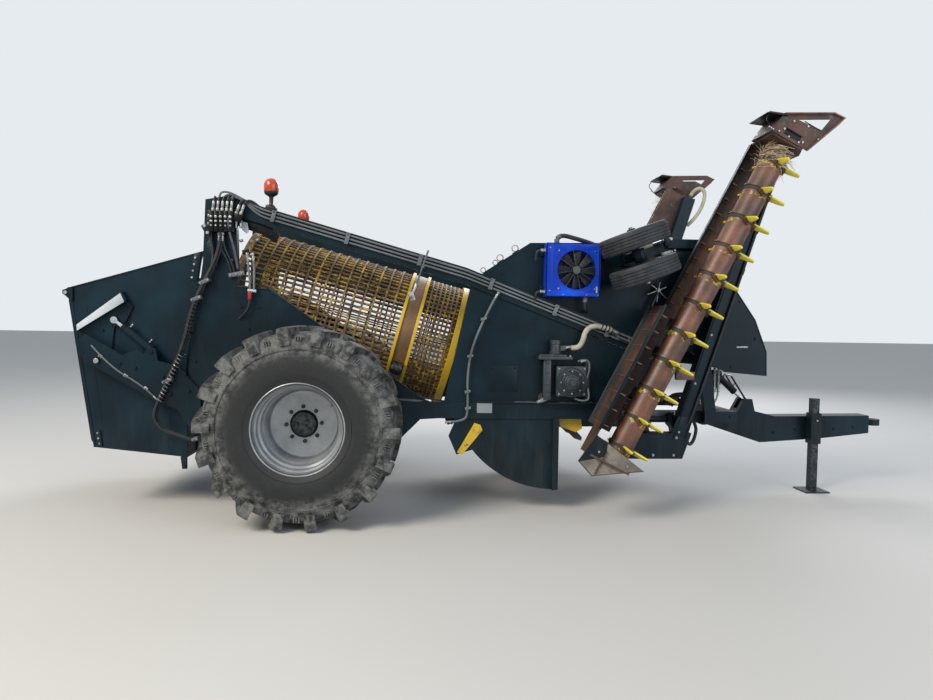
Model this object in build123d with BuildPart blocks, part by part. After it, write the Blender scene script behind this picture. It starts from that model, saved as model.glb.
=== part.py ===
from build123d import *
from math import cos, pi, radians, sin
import os

os.makedirs("parts", exist_ok=True)

# A trailed stone picker. X points forward, Y to the left, Z up, the ground at Z = 0 and the origin
# below the middle of the machine. Outlines in side view are given from the axle: (forward, height).

# Overall
rear_reach = 2010            # axle to the rearmost edge of the hopper
front_reach = 5560           # axle to the front of the hitch eye
axle_x = (rear_reach - front_reach) / 2
gap = 0.3                    # between faces that sit against each other on different pieces
running = 0.05               # radial clearance of a shaft in its bearing
sides = [("left", 1), ("right", -1)]

# Road wheels
tyre_radius = 780
tyre_width = 587
track = 2413                 # between the wheels' centre planes
tyre_flats = 36
lug_count = 18               # on each side of a tyre
lug_height = 42
rim_seat = 334
rim_flange = 355
rim_width = 540
rim_wall = 8
disc_recess = 330            # from the outer flange in to the disc's face
disc_thick = 14
hub_bore = 110.5
stud_circle = 275
stud_count = 8
nut_size = 17                # from a nut's centre to its corners
nut_height = 24
axle_size = 150
spindle_radius = 45

# Side frames
tyre_gap = 48                # between a tyre and the side frame beside it
frame_depth = 75
frame_plate = 12
frame_outer = track / 2 - tyre_width / 2 - tyre_gap     # |Y| of the side frames' outer faces
frame_inner = frame_outer - frame_depth
frame_seat = frame_outer - frame_plate - gap     # |Y| up to which pieces reach into the open inner side
beam_low = 790               # lower edge of the long beams
beam_high = 925

# Sieve drum, on a sloping axis that rises to the rear
drum_radius = 550
drum_wall = 12
drum_length = 2040
drum_flats = 24
drum_rear = (-724, 1887)     # rear end of the axis
drum_slope = 14.9
band_start = 1480            # from the drum's rear end
band_end = 1640
ring_width = 90
drum_bar = 22
rear_rows = 5                # rows of windows behind and ahead of the running band
front_rows = 1
drum_panels = 8              # bolted side by side between the end rings
ring_flats = 48
roller_radius = 60
roller_turn = 60             # from the drum's lowest line round to the rollers

# Pick-up
rotor_x = 1960
rotor_z = 970
rotor_reach = 600
rotor_tube = 150
rotor_wall = 10
rotor_half = frame_inner - 70
finger_rows = 4
fingers_in_row = 9
finger_thick = 14
end_disc = 12                # discs that close the tubes' ends
shaft_radius = 40
shaft_half = frame_outer - 3
grate_inner = 640
grate_depth = 45
grate_slots = 11
grate_bar = 24
grate_step = 10              # degrees between the curved slabs' corners
cheek_outer = frame_outer - 15                   # |Y| of the housing's side plates
cheek_plate = 15

# Windrowers, folded up
fold_y = frame_outer - 105   # |Y| and height of the fold hinge
fold_z = 780
fold_pin = 25
tine_reach = 240
tine_gap = 15                # between the tines' tips and the arm's face
arm_inner = frame_outer - 20
arm_thick = 110
arm_outer = arm_inner + arm_thick                # |Y| of the arm's faces
reel_y = arm_outer + tine_reach + tine_gap       # |Y| of the folded reel's axis
reel_foot = (2478, 489)
reel_lean = 27.1
reel_length = 2867
reel_tube = 100
reel_wall = 8
reel_shaft = 30
tine_width = 46
tine_thick = 14
tine_stations = 11
gauge_radius = 280
gauge_width = 145
gauge_centre = (2664, 2165)
gauge_y = reel_y - 20
gauge_tilt = 20.5
gauge_half_gap = 136
gauge_axle = 18
gauge_flats = 24

# Hopper
hopper_outer = frame_outer - 85                  # |Y| of the side walls' outer faces
hopper_wall = 8
tip_pin = (-1700, 1245)
tip_pin_radius = 25
tilt_base = (-1272, 1319)
tilt_eye = (-1588, 1576)
tilt_y = hopper_outer + 45
bracket_thick = 25
gate_hinge = (-1985, 1795)

# Drawbar
drawbar_pivot = (3690, 690)
drawbar_pin = 30
eye_height = 660
eye_bore = 25.5
eye_outer = 70
lift_base = (3850, 1130)
lift_eye = (4150, 860)
jack_x = front_reach - 780
jack_y = -170

# Rams: barrel and rod radii, eye bore and eye width
ram_barrel = 32
ram_rod = 17
ram_pin = 15
ram_eye = 32
ram_eye_width = 30


def side(y):
    """Upright plane at y that faces the right-hand side: x forward of the axle, y up."""
    return Plane(origin=(axle_x, y, 0), x_dir=(1, 0, 0), z_dir=(0, -1, 0))


def across(x):
    """Upright plane across the machine at x forward of the axle: x to the left, y up."""
    return Plane(origin=(axle_x + x, 0, 0), x_dir=(0, 1, 0), z_dir=(1, 0, 0))


def outline(points):
    """A closed face through the points, in the sketch that is open."""
    Polygon(*points, align=None)


def slab(points, outer, thick, mode=Mode.ADD):
    """A plate in side view whose outer face lies at Y = -outer."""
    with BuildSketch(side(thick - outer)) as face:
        outline(points)
    extrude(face.sketch, amount=thick, mode=mode)


def beam_y(x, z, half, high, deep, mode=Mode.ADD):
    """A square beam that runs across the machine, centred on (x, z)."""
    with BuildSketch(side(half)) as face:
        with Locations((x, z)):
            Rectangle(deep, high)
    extrude(face.sketch, amount=2 * half, mode=mode)


def rod_y(x, z, radius, start, end, mode=Mode.ADD):
    """A round bar along Y between two values of Y."""
    with BuildSketch(side(end)) as face:
        with Locations((x, z)):
            Circle(radius)
    extrude(face.sketch, amount=end - start, mode=mode)


def wheel_plane(sign):
    """The wheel's centre plane, facing outwards."""
    return Plane(origin=(axle_x, sign * track / 2, tyre_radius), x_dir=(1, 0, 0), z_dir=(0, sign, 0))


# Tyres: a flat-sided carcass by sections of (distance from the centre plane, radius), with bar lugs
tread_radius = tyre_radius - lug_height
tyre_half = tyre_width / 2
carcass = [(-tyre_half, 600), (20 - tyre_half, 690), (70 - tyre_half, tread_radius),
           (tyre_half - 70, tread_radius), (tyre_half - 20, 690), (tyre_half, 600)]
bead_mouth = 430             # radius of the hollow beside the rim, at the tyre's outer faces
lug_root = 680
lug_outline = [(-28, -12), (34, -12), (150, tyre_half - 4), (68, tyre_half - 4)]


def lug_plane(sign, turn):
    """A plane that faces straight out of the tyre, turned round the wheel from the bottom."""
    out = Vector(sin(radians(turn)), 0, -cos(radians(turn)))
    along = Vector(cos(radians(turn)), 0, sin(radians(turn)))
    centre = Vector(axle_x, sign * track / 2, tyre_radius)
    return Plane(origin=centre + out * lug_root, x_dir=along, z_dir=out)


for name, sign in sides:
    with BuildPart() as tyre:
        for offset_out, radius in carcass:
            with BuildSketch(wheel_plane(sign).offset(offset_out)):
                RegularPolygon(radius, tyre_flats, rotation=180 / tyre_flats)
        loft(ruled=True)
        for face_out in (1, -1):
            with BuildSketch(wheel_plane(sign).offset(face_out * (tyre_half + 1))):
                RegularPolygon(bead_mouth, tyre_flats)
            with BuildSketch(wheel_plane(sign).offset(face_out * (rim_width / 2 - 20))):
                RegularPolygon(rim_seat + 8, tyre_flats)
            loft(ruled=True, mode=Mode.SUBTRACT)
        with BuildSketch(wheel_plane(sign).offset(-tyre_half)):
            RegularPolygon(rim_seat + gap, tyre_flats, major_radius=False)
        extrude(amount=tyre_width, mode=Mode.SUBTRACT)
        for flip, shift in [(1, 0), (-1, 0.5)]:
            turns = [360 / lug_count * (k + shift) for k in range(lug_count)]
            with BuildSketch(*[lug_plane(sign, turn) for turn in turns]):
                outline([(along, flip * out) for along, out in lug_outline])
            extrude(amount=tyre_radius + 20 - lug_root)
        with BuildSketch(wheel_plane(sign).offset(-tyre_half)):
            RegularPolygon(tyre_radius, tyre_flats, major_radius=False, rotation=180 / tyre_flats)
        extrude(amount=tyre_width, mode=Mode.INTERSECT)
    tyre.part.label = "tyre_" + name
    export_step(tyre.part, "parts/tyre_" + name + ".step")

# Wheel rims: a barrel with flanges and a deep-set disc with a bore
disc_face = rim_width / 2 - disc_recess
rim_inner = rim_seat - rim_wall
lip_width = 14
rim_section = [(-rim_width / 2, rim_flange), (lip_width - rim_width / 2, rim_seat),
               (rim_width / 2 - lip_width, rim_seat), (rim_width / 2, rim_flange)]
rim_hollows = [(1, rim_width / 2, disc_face), (-1, rim_width / 2, disc_thick - disc_face)]
for name, sign in sides:
    with BuildPart() as rim:
        for offset_out, radius in rim_section:
            with BuildSketch(wheel_plane(sign).offset(offset_out)):
                RegularPolygon(radius, tyre_flats, major_radius=False)
        loft(ruled=True)
        for face_out, mouth_out, floor_out in rim_hollows:
            with BuildSketch(wheel_plane(sign).offset(face_out * floor_out)):
                RegularPolygon(rim_inner, tyre_flats, major_radius=False)
            extrude(amount=face_out * (mouth_out - floor_out), mode=Mode.SUBTRACT)
            with BuildSketch(wheel_plane(sign).offset(face_out * mouth_out)):
                RegularPolygon(rim_flange - rim_wall, tyre_flats, major_radius=False)
            with BuildSketch(wheel_plane(sign).offset(face_out * (mouth_out - lip_width))):
                RegularPolygon(rim_inner, tyre_flats, major_radius=False)
            loft(ruled=True, mode=Mode.SUBTRACT)
        with BuildSketch(wheel_plane(sign).offset(disc_face - disc_thick)):
            Circle(hub_bore)
        extrude(amount=disc_thick, mode=Mode.SUBTRACT)
    rim.part.label = "rim_" + name
    export_step(rim.part, "parts/rim_" + name + ".step")

# Hubs: a flange behind each disc, a body on the spindle, a tapered cap and the wheel nuts
hub_flange = 165
hub_body = hub_bore - 0.5
hub_back = frame_outer + 145                     # |Y| of the hub's inner end
hub_face = track / 2 + disc_face - disc_thick - gap
hub_flats = 24
flange_thick = 22
cap_height = 75
spindle_end = hub_face + 40
for name, sign in sides:
    with BuildPart() as hub:
        hub_base = Plane(origin=(axle_x, sign * hub_back, tyre_radius), x_dir=(1, 0, 0), z_dir=(0, sign, 0))
        with BuildSketch(hub_base):
            RegularPolygon(hub_body - 20, hub_flats)
        extrude(amount=hub_face - hub_back)
        with BuildSketch(hub_base.offset(hub_face - hub_back - flange_thick)):
            RegularPolygon(hub_flange, hub_flats)
        extrude(amount=flange_thick)
        with BuildSketch(hub_base.offset(hub_face - hub_back)):
            RegularPolygon(hub_body - 5, hub_flats)
        extrude(amount=cap_height, taper=12)
        with BuildSketch(hub_base.offset(hub_face - hub_back + disc_thick + 2 * gap)):
            with PolarLocations(stud_circle / 2, stud_count):
                RegularPolygon(nut_size, 6)
        extrude(amount=nut_height)
        with BuildSketch(hub_base):
            Circle(spindle_radius + running)
        extrude(amount=spindle_end - hub_back + 2, mode=Mode.SUBTRACT)
    hub.part.label = "hub_" + name
    export_step(hub.part, "parts/hub_" + name + ".step")

# Axle: a square beam through both side frames, with a spindle at each end
with BuildPart() as axle:
    beam_y(0, tyre_radius, frame_outer + 40, axle_size, axle_size)
    rod_y(0, tyre_radius, spindle_radius, -spindle_end, spindle_end)
    rod_y(0, tyre_radius, 70, frame_outer + 39, hub_back - 20)
    mirror(about=Plane.XZ)
axle.part.label = "axle"
export_step(axle.part, "parts/axle.step")

# Side frames: rear column, arch plate over the wheel and long beam in one welded plate
column_outline = [(-850, 2570), (-640, 2610), (-600, 2330), (-590, 1862), (-327, 1843), (916, 962),
                  (1000, beam_high), (2620, beam_high), (2620, beam_low), (1075, beam_low),
                  (920, 780), (760, 620), (-930, 620), (-985, 1190), (-870, 2060)]
with BuildPart() as frames:
    slab(column_outline, frame_outer, frame_outer - frame_inner)
    with BuildSketch(side(-frame_inner)):
        outline(column_outline)
        offset(amount=-frame_plate, mode=Mode.REPLACE)
    extrude(amount=frame_outer - frame_inner - frame_plate, mode=Mode.SUBTRACT)
    beam_y(0, tyre_radius, frame_outer + 1, axle_size + 2 * gap, axle_size + 2 * gap, mode=Mode.SUBTRACT)
    mirror(about=Plane.XZ)
frames.part.label = "side_frames"
export_step(frames.part, "parts/side_frames.step")

# Cross-members between the side frames: (forward, height, depth, height of section)
members = [(-600, 670, 60, 60), (-745, 2535, 60, 60), (830, 800, 60, 70)]
with BuildPart() as cross_members:
    for forward, height, deep, high in members:
        beam_y(forward, height, frame_seat, high, deep)
cross_members.part.label = "cross_members"
export_step(cross_members.part, "parts/cross_members.step")

# Chute that leads stones from the drum's rear lip down into the hopper
chute_half = frame_inner - 90
with BuildPart() as chute:
    slab([(-900, 1300), (-878, 1288), (-814, 1325), (-690, 1370), (-690, 1430), (-830, 1390), (-893, 1340)],
         chute_half, 10)
    rod_y(-715, 1400, 20, -frame_seat, -chute_half)
    mirror(about=Plane.XZ)
    with BuildSketch(side(chute_half)):
        outline([(-886, 1292), (-1012, 890), (-1004, 887), (-878, 1289)])
    extrude(amount=2 * chute_half)
chute.part.label = "chute"
export_step(chute.part, "parts/chute.step")

# Top rails: rear stretch over the drum, front stretch down the body's upper edge
rail_rear = (-636.5, 2590)
rail_bend = (1290, 1922)
rail_foot = (2900, 1310)
rail_depth = 140
with BuildPart() as rails:
    slab([rail_rear, (rail_bend[0], rail_bend[1] + rail_depth), (rail_foot[0], rail_foot[1] + rail_depth),
          rail_foot, rail_bend, (-615, 2440)], frame_outer, frame_outer - frame_inner)
    mirror(about=Plane.XZ)
rails.part.label = "top_rails"
export_step(rails.part, "parts/top_rails.step")

# Body side panels between rails and beams, with a rear post and a bearing block for the rotor's shaft
panel_floor = beam_high + gap
panel_outline = [(rail_bend[0] + 40, rail_bend[1] - 17), (rail_foot[0], rail_foot[1] - 2), (2860, 1160),
                 (2620, panel_floor), (1120, panel_floor)]
with BuildPart() as panels:
    slab(panel_outline, frame_outer - 20, 10)
    slab([panel_outline[0], (1390, 1882), (1180, panel_floor), panel_outline[-1]], frame_outer - 30, 45)
    slab([(rotor_x - 95, panel_floor), (rotor_x - 60, rotor_z + 55), (rotor_x, rotor_z + 80),
          (rotor_x + 60, rotor_z + 55), (rotor_x + 95, panel_floor)], frame_outer - 12, 50)
    rod_y(rotor_x, rotor_z, shaft_radius + running, -frame_outer, -frame_inner, mode=Mode.SUBTRACT)
    mirror(about=Plane.XZ)
panels.part.label = "body_panels"
export_step(panels.part, "parts/body_panels.step")

# Hood over the mouth: a shell that is open below, sloping at the rear and faceted round at the front
hood_outer = frame_inner - gap
hood_wall = 8
hood_top = [(1440, 2030), (1837, 2290), (3330, 2326), (3638, 1959), (3847, 1665), (3958, 1385), (3965, 1172)]
hood_bottom = [(3582, 1204), (3270, 1376), (2900, 1430), (2344, 1640), (1440, 1985)]
with BuildPart() as hood:
    with BuildSketch(side(hood_outer)):
        outline(hood_top + hood_bottom)
    extrude(amount=2 * hood_outer)
    mouth = [(hood_top[-1][0] - hood_wall, hood_top[-1][1])] + hood_bottom[:-1] + [(1540, 1950)]
    with BuildSketch(side(hood_outer - hood_wall)):
        outline(hood_top + hood_bottom)
        offset(amount=-hood_wall, mode=Mode.REPLACE)
        outline([(x, z + 50) for x, z in mouth] + [(x, z - 80) for x, z in reversed(mouth)])
    extrude(amount=2 * (hood_outer - hood_wall), mode=Mode.SUBTRACT)
hood.part.label = "hood"
export_step(hood.part, "parts/hood.step")

# Sieve drum: a cage of flat strips and windows between solid bands, on the sloping axis
slope = radians(drum_slope)
drum_plane = Plane(origin=(axle_x + drum_rear[0], 0, drum_rear[1]), x_dir=(0, 1, 0),
                   z_dir=(cos(slope), 0, -sin(slope)))
flat_width = 2 * drum_radius * sin(pi / drum_flats)


def window_rows(start, end, count):
    """Centres and length of the windows in one stretch of the cage."""
    pitch = (end - start) / count
    return [start + pitch * (k + 0.5) for k in range(count)], pitch - drum_bar


with BuildPart(drum_plane) as drum:
    with BuildSketch(drum_plane):
        RegularPolygon(drum_radius, drum_flats)
        RegularPolygon(drum_radius - drum_wall, drum_flats, mode=Mode.SUBTRACT)
    extrude(amount=drum_length)
    stretches = [(ring_width, band_start, rear_rows), (band_end, drum_length - ring_width, front_rows)]
    for start, end, count in stretches:
        centres, length = window_rows(start, end, count)
        with Locations(*[(0, 0, centre) for centre in centres]):
            with PolarLocations(drum_radius - 10, drum_flats, start_angle=180 / drum_flats):
                Box(60, flat_width - drum_bar, length, mode=Mode.SUBTRACT)
    with Locations((0, 0, drum_length / 2)):
        with PolarLocations(drum_radius - drum_wall / 2, drum_panels):
            Box(4 * drum_wall, gap, drum_length, mode=Mode.SUBTRACT)
drum.part.label = "sieve_cage"
export_step(drum.part, "parts/sieve_cage.step")

# Rings round the cage: one at each end and the running band with its two flanges between
band_proud = 10
rear_ring = (0, 60, 22)                          # start, width, stands out by
front_ring = (drum_length - 70, 70, 20)
flange_width = 24
flange_proud = 26
running_ring = (band_start - 4, band_end - band_start + 8, band_proud)
flanges = [(running_ring[0], flange_width, flange_proud),
           (band_end + 4 - flange_width, flange_width, flange_proud)]
with BuildPart() as drum_bands:
    for start, width, proud in [rear_ring, running_ring, front_ring] + flanges:
        with BuildSketch(drum_plane.offset(start)):
            RegularPolygon(drum_radius + proud, ring_flats)
            RegularPolygon(drum_radius + gap, drum_flats, mode=Mode.SUBTRACT)
        extrude(amount=width)
drum_bands.part.label = "drum_bands"
export_step(drum_bands.part, "parts/drum_bands.step")

# Drum rollers, each between two plates that reach in from the side frames
roller_stations = [(band_start + 80, 90, drum_radius + band_proud), (30, 40, drum_radius + rear_ring[2])]
fork_plate = 12
fork_seat = (-450, -525)     # upper and lower edge of the plates at the frames, below the drum's axis
with BuildPart() as rollers:
    for along, width, level in roller_stations:
        reach = level + roller_radius + gap
        centre_y = -reach * sin(radians(roller_turn))
        centre_z = -reach * cos(radians(roller_turn))
        with BuildSketch(drum_plane.offset(along - width / 2)):
            with Locations((centre_y, centre_z)):
                Circle(roller_radius)
        extrude(amount=width)
        with BuildSketch(drum_plane.offset(along - width / 2 - fork_plate)):
            with Locations((centre_y, centre_z)):
                RegularPolygon(20, 8)
        extrude(amount=width + 2 * fork_plate)
        for start in (along - width / 2 - fork_plate - gap, along + width / 2 + gap):
            with BuildSketch(drum_plane.offset(start)):
                outline([(centre_y + 32, centre_z + 20), (centre_y + 32, centre_z - 45),
                         (-frame_seat, fork_seat[1]), (-frame_seat, fork_seat[0])])
            extrude(amount=fork_plate)
    mirror(about=Plane.XZ)
rollers.part.label = "drum_rollers"
export_step(rollers.part, "parts/drum_rollers.step")

# Pick-up rotor: a tube on a shaft with rows of flat fingers, every other ring turned a little
finger_root = rotor_tube - rotor_wall - 3
finger_pitch = 2 * (rotor_half - 30) / (fingers_in_row - 1)
finger_outline = [(finger_root, -45), (rotor_reach - 60, -32), (rotor_reach, 0), (rotor_reach - 20, 26),
                  (finger_root, 40)]
tube_flats = 24
disc_holes = 4
with BuildPart() as rotor:
    for start, amount, is_disc in [(rotor_half, 2 * rotor_half, False), (rotor_half, end_disc, True),
                                   (end_disc - rotor_half, end_disc, True)]:
        with BuildSketch(side(start)):
            with Locations((rotor_x, rotor_z)):
                RegularPolygon(rotor_tube, tube_flats)
                if is_disc:
                    with PolarLocations((rotor_tube + shaft_radius) / 2, disc_holes):
                        RegularPolygon(28, 8, mode=Mode.SUBTRACT)
                else:
                    RegularPolygon(rotor_tube - rotor_wall, tube_flats, mode=Mode.SUBTRACT)
        extrude(amount=amount)
    rod_y(rotor_x, rotor_z, shaft_radius, -shaft_half, shaft_half)
    middles = [finger_pitch * (k - (fingers_in_row - 1) / 2) for k in range(fingers_in_row)]
    for turn, chosen in [(0, middles[::2]), (45, middles[1::2])]:
        with BuildSketch(*[side(middle + finger_thick / 2) for middle in chosen]):
            with Locations((rotor_x, rotor_z)):
                with PolarLocations(0, finger_rows, start_angle=turn):
                    outline(finger_outline)
        extrude(amount=finger_thick)
rotor.part.label = "pickup_rotor"
export_step(rotor.part, "parts/pickup_rotor.step")

# Pick-up housing: cheeks with a round lower edge, a stiffening post in front and a slotted, curved grate
cheek_top = beam_low - gap
cheek_front = 2050
post_front = 2100
grate_low = (178, 20, frame_inner - gap)          # start angle, turn and half-width of the upper stretch
grate_wide = (198, 68, cheek_outer - cheek_plate)


def ring_points(radius, start, turn):
    """Points on an arc round the rotor, a few degrees apart."""
    steps = round(turn / grate_step)
    turns = [radians(start + turn * k / steps) for k in range(steps + 1)]
    return [(rotor_x + radius * cos(angle), rotor_z + radius * sin(angle)) for angle in turns]


def grate_slabs(start, turn, far_sides, wide, clear=0, mode=Mode.ADD):
    """Curved slabs round the rotor, each from its far side's Y towards the right-hand side."""
    inner = ring_points(grate_inner - clear, start, turn)
    outer = ring_points(grate_inner + grate_depth + clear, start, turn)
    with BuildSketch(*[side(far) for far in far_sides]) as faces:
        outline(inner + outer[::-1])
    extrude(faces.sketch, amount=wide, mode=mode)


with BuildPart() as housing:
    with BuildSketch(side(cheek_plate - cheek_outer)):
        with BuildLine():
            Polyline((1364, 520), (1231, 478), (1161, 637), (1226, cheek_top), (cheek_front, cheek_top),
                     (cheek_front, 181))
            ThreePointArc((cheek_front, 181), (1646, 288), (1364, 520))
        make_face()
    extrude(amount=cheek_plate)
    slab([(cheek_front, 181), (post_front, 188), (post_front, cheek_top), (cheek_front, cheek_top)],
         cheek_outer + 45, 60)
    mirror(about=Plane.XZ)
    for start, turn, half in (grate_low, grate_wide):
        grate_slabs(start, turn, [half], 2 * half)
    slot_pitch = 2 * grate_low[2] / grate_slots
    slot_sides = [grate_low[2] - slot_pitch * k - grate_bar / 2 for k in range(grate_slots)]
    grate_slabs(grate_low[0] + 8, grate_low[1] + grate_wide[1] - 16, slot_sides, slot_pitch - grate_bar, 12,
                Mode.SUBTRACT)
housing.part.label = "pickup_housing"
export_step(housing.part, "parts/pickup_housing.step")

# Front frame: two beams ahead of the side frames, hinge pins for the windrowers, a plate that carries
# the fold rams, a cross beam and the lugs of the drawbar and of its ram
beam_side = fold_y - 80      # |Y| of the front beams' faces
beam_thin = 100
front_low = 740
front_high = 840
front_end = 3760
pin_start = 2700
pin_end = 3155
ram_x = 2896                 # the fold rams' plane
ram_clear = ram_barrel + 6
mast_thick = 26
fold_base = (fold_y - 450, fold_z + 300)         # |Y| and height of the fold rams' base pins
fold_eye = (fold_y + 50, fold_z + 300)           # and of their eyes on the arms
hinge_lugs = [2706, 3116]
mast_outline = [(-fold_base[0] - 110, 838), (-fold_base[0] - 40, 1125), (40 - fold_base[0], 1125),
                (110 - fold_base[0], 960), (fold_base[0] - 110, 960), (fold_base[0] - 40, 1125),
                (fold_base[0] + 40, 1125), (fold_base[0] + 110, 838)]
hood_side = hood_outer - hood_wall - gap         # |Y| of the posts that carry the hood from inside
lift_lug = [(3640, 840), (3760, 840), (3890, 1100), (3880, 1165), (3820, 1165), (3790, 1130)]
pivot_lug = [(3640, 800), (3760, 800), (3750, 680), (3710, 640), (3670, 640), (3640, 680)]
with BuildPart() as front:
    slab([(2660, front_low), (front_end, front_low), (front_end, front_high), (2660, front_high)],
         beam_side, beam_thin)
    slab([(2620 + gap, front_low), (2700, front_low), (2700, beam_high), (2620 + gap, beam_high)],
         frame_outer, frame_outer - beam_side + beam_thin)
    for start in hinge_lugs:
        with BuildSketch(across(start)):
            with Locations((-fold_y, fold_z)):
                Circle(45)
            outline([(-beam_side, front_high - 5), (-beam_side, front_low + 5), (-fold_y, fold_z - 45),
                     (-fold_y, fold_z + 45)])
        extrude(amount=30)
    with BuildSketch(across(pin_start)):
        with Locations((-fold_y, fold_z)):
            Circle(fold_pin)
    extrude(amount=pin_end - pin_start)
    with BuildSketch(across(ram_x - ram_eye_width / 2)):
        with Locations((-fold_base[0], fold_base[1])):
            Circle(ram_pin)
    extrude(amount=ram_eye_width / 2 + ram_clear + mast_thick)
    slab([(3420, front_low), (3520, front_low), (3520, front_high), (3420, front_high)], hood_side,
         hood_side - beam_side + beam_thin)
    slab([(3420, front_high), (3520, front_high), (3440, 1420), (3340, 1420)], hood_side, 60)
    slab(pivot_lug, 140, 35)
    slab(lift_lug, 65, 25)
    mirror(about=Plane.XZ)
    with BuildSketch(across(ram_x + ram_clear)):
        outline(mast_outline)
    extrude(amount=mast_thick)
    beam_y(2925, 860, beam_side - beam_thin, 80, 80)
    beam_y(3700, 800, beam_side - beam_thin, 80, 120)
    rod_y(drawbar_pivot[0], drawbar_pivot[1], drawbar_pin, -140, 140)
    rod_y(lift_base[0], lift_base[1], ram_pin, -64, 64)
front.part.label = "front_frame"
export_step(front.part, "parts/front_frame.step")


def export_pair(near, name):
    """Writes a right-hand piece and its mirrored left-hand twin."""
    near.label = name + "_right"
    export_step(near, "parts/" + name + "_right.step")
    with BuildPart() as twin:
        mirror(near, about=Plane.XZ)
    twin.part.label = name + "_left"
    export_step(twin.part, "parts/" + name + "_left.step")


# Windrower arms: a low box at the hinge, a long beam, a lever for the ram, and the gauge wheels' carrier
tilt = radians(gauge_tilt)
gauge_plane = Plane(origin=(axle_x + gauge_centre[0], -gauge_y, gauge_centre[1]),
                    x_dir=(cos(tilt), 0, sin(tilt)), z_dir=(-sin(tilt), 0, cos(tilt)))
gauge_span = gauge_half_gap + gauge_width / 2 + 15
carrier_plate = 30
lever_x = ram_x - ram_eye_width / 2 - 5 - 30
arm_lugs = [2741, lever_x, 3081]
lug_thick = 30
lug_points = [(-30, -38), (52, -62), (85, -110), (85, -220), (arm_outer - fold_y - 5, -220),
              (arm_outer - fold_y - 5, -95), (34, 34)]      # from the fold pivot: (outwards, up)
# from the pins' middle: (forward, up)
low_box = [(-268, -313), (232, -313), (307, -93), (-268, -93)]
# from the gauge wheels' centre
carrier = [(-64, -55), (936, -55), (1026, 85), (1016, 95), (-64, 55)]
hinge_x = (pin_start + pin_end) / 2
with BuildPart() as arm:
    slab([(hinge_x + x, fold_z + z) for x, z in low_box], arm_outer, arm_thick)
    slab([(3060, 620), (3180, 600), (3930, 2995), (3810, 3020)], arm_outer, arm_thick)
    for start in arm_lugs:
        with BuildSketch(across(start)):
            with Locations((-fold_y, fold_z)):
                Circle(48)
            outline([(-fold_y - out, fold_z + up) for out, up in lug_points])
        extrude(amount=lug_thick)
    with BuildSketch(across(lever_x)):
        outline([(-fold_y, fold_z), (-arm_inner - 10, fold_z - 140), (-arm_inner - 55, fold_z - 80),
                 (-fold_eye[0] - 40, fold_eye[1] + 35), (-fold_eye[0] + 35, fold_eye[1] + 35)])
    extrude(amount=lug_thick)
    with BuildSketch(across(pin_start)):
        with Locations((-fold_y, fold_z)):
            Circle(fold_pin + running)
    extrude(amount=pin_end - pin_start, mode=Mode.SUBTRACT)
    slab([(gauge_centre[0] + x, gauge_centre[1] + z) for x, z in carrier], arm_inner, carrier_plate)
    rod_y(gauge_centre[0], gauge_centre[1], 34, -gauge_y - 20, -arm_inner + carrier_plate / 2)
    with BuildSketch(gauge_plane.offset(-gauge_span)):
        Circle(gauge_axle)
    extrude(amount=2 * gauge_span)
export_pair(arm.part, "windrower_arm")

# Gauge wheels: twin small wheels on one axle for each arm
wheel_shoulder = 22
with BuildPart() as gauge:
    for centre in (-gauge_half_gap, gauge_half_gap):
        for out, radius in [(-gauge_width / 2, gauge_radius - wheel_shoulder),
                            (wheel_shoulder - gauge_width / 2, gauge_radius),
                            (gauge_width / 2 - wheel_shoulder, gauge_radius),
                            (gauge_width / 2, gauge_radius - wheel_shoulder)]:
            with BuildSketch(gauge_plane.offset(centre + out)):
                RegularPolygon(radius, gauge_flats)
        loft(ruled=True)
        with BuildSketch(gauge_plane.offset(centre - gauge_width / 2)):
            Circle(gauge_axle + running)
        extrude(amount=gauge_width, mode=Mode.SUBTRACT)
export_pair(gauge.part, "gauge_wheels")

# Reel carriers. The plane's x runs square to the reel, forwards and down, y inwards, z up the reel.
# Each has a ribbed channel on the arm's face, a guard wall below, two end plates with bearings, a skid at the
# foot and a head with two side plates
lean = radians(reel_lean)
reel_plane = Plane(origin=(axle_x + reel_foot[0], -reel_y, reel_foot[1]),
                   x_dir=(cos(lean), 0, -sin(lean)), z_dir=(sin(lean), 0, cos(lean)))
arm_face = reel_y - arm_outer - gap
end_gap = 12                 # from the reel's tube to its end plates
end_plate = 15
sheet = 9
wall_far = 262               # from the reel's axis to the guard wall's outer face
wall_near = 158              # and to the channel's edge beyond the wall
wall_start = 200             # from the reel's foot to where the wall reaches the arm's face
wall_length = 1300
rib_pitch = 140
rib_thick = 8
skid_outer = reel_y + 135
skid_plate = 12
foot_outline = [(-wall_far, -130), (-150, -160), (110, -160), (150, -60), (150, arm_face), (-20, arm_face),
                (-60, 225), (-150, 150), (-wall_far, 80)]
crown_outline = [(-wall_near, -150), (110, -160), (150, -60), (150, arm_face), (-wall_near, arm_face)]
channel_edge = 205           # from the reel's axis inwards to the lip of the upper channel
wide_rib = [(-wall_far, 140), (-215, 140), (-170, 190), (-110, 232), (-110, arm_face), (-wall_far, arm_face)]
thin_rib = [(-wall_near, channel_edge), (-150, channel_edge), (-95, 235), (-95, arm_face),
            (-wall_near, arm_face)]
ribs = [(wide_rib, wall_start + 60, wall_length - 60), (thin_rib, wall_length + 80, reel_length)]
head_base = reel_length + end_gap + end_plate
head_half = 170
head_plate = 10
head_outline = [(-184, head_base - 1), (-157, head_base + 166), (192, head_base + 362),
                (292, head_base + 368), (270, head_base + 296), (148, head_base - 1)]
head_window = [(-36, head_base + 174), (172, head_base + 196), (196, head_base + 306)]
head_slot = [(-85, head_base + 31), (55, head_base + 31), (55, head_base + 71), (-85, head_base + 71)]
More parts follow.
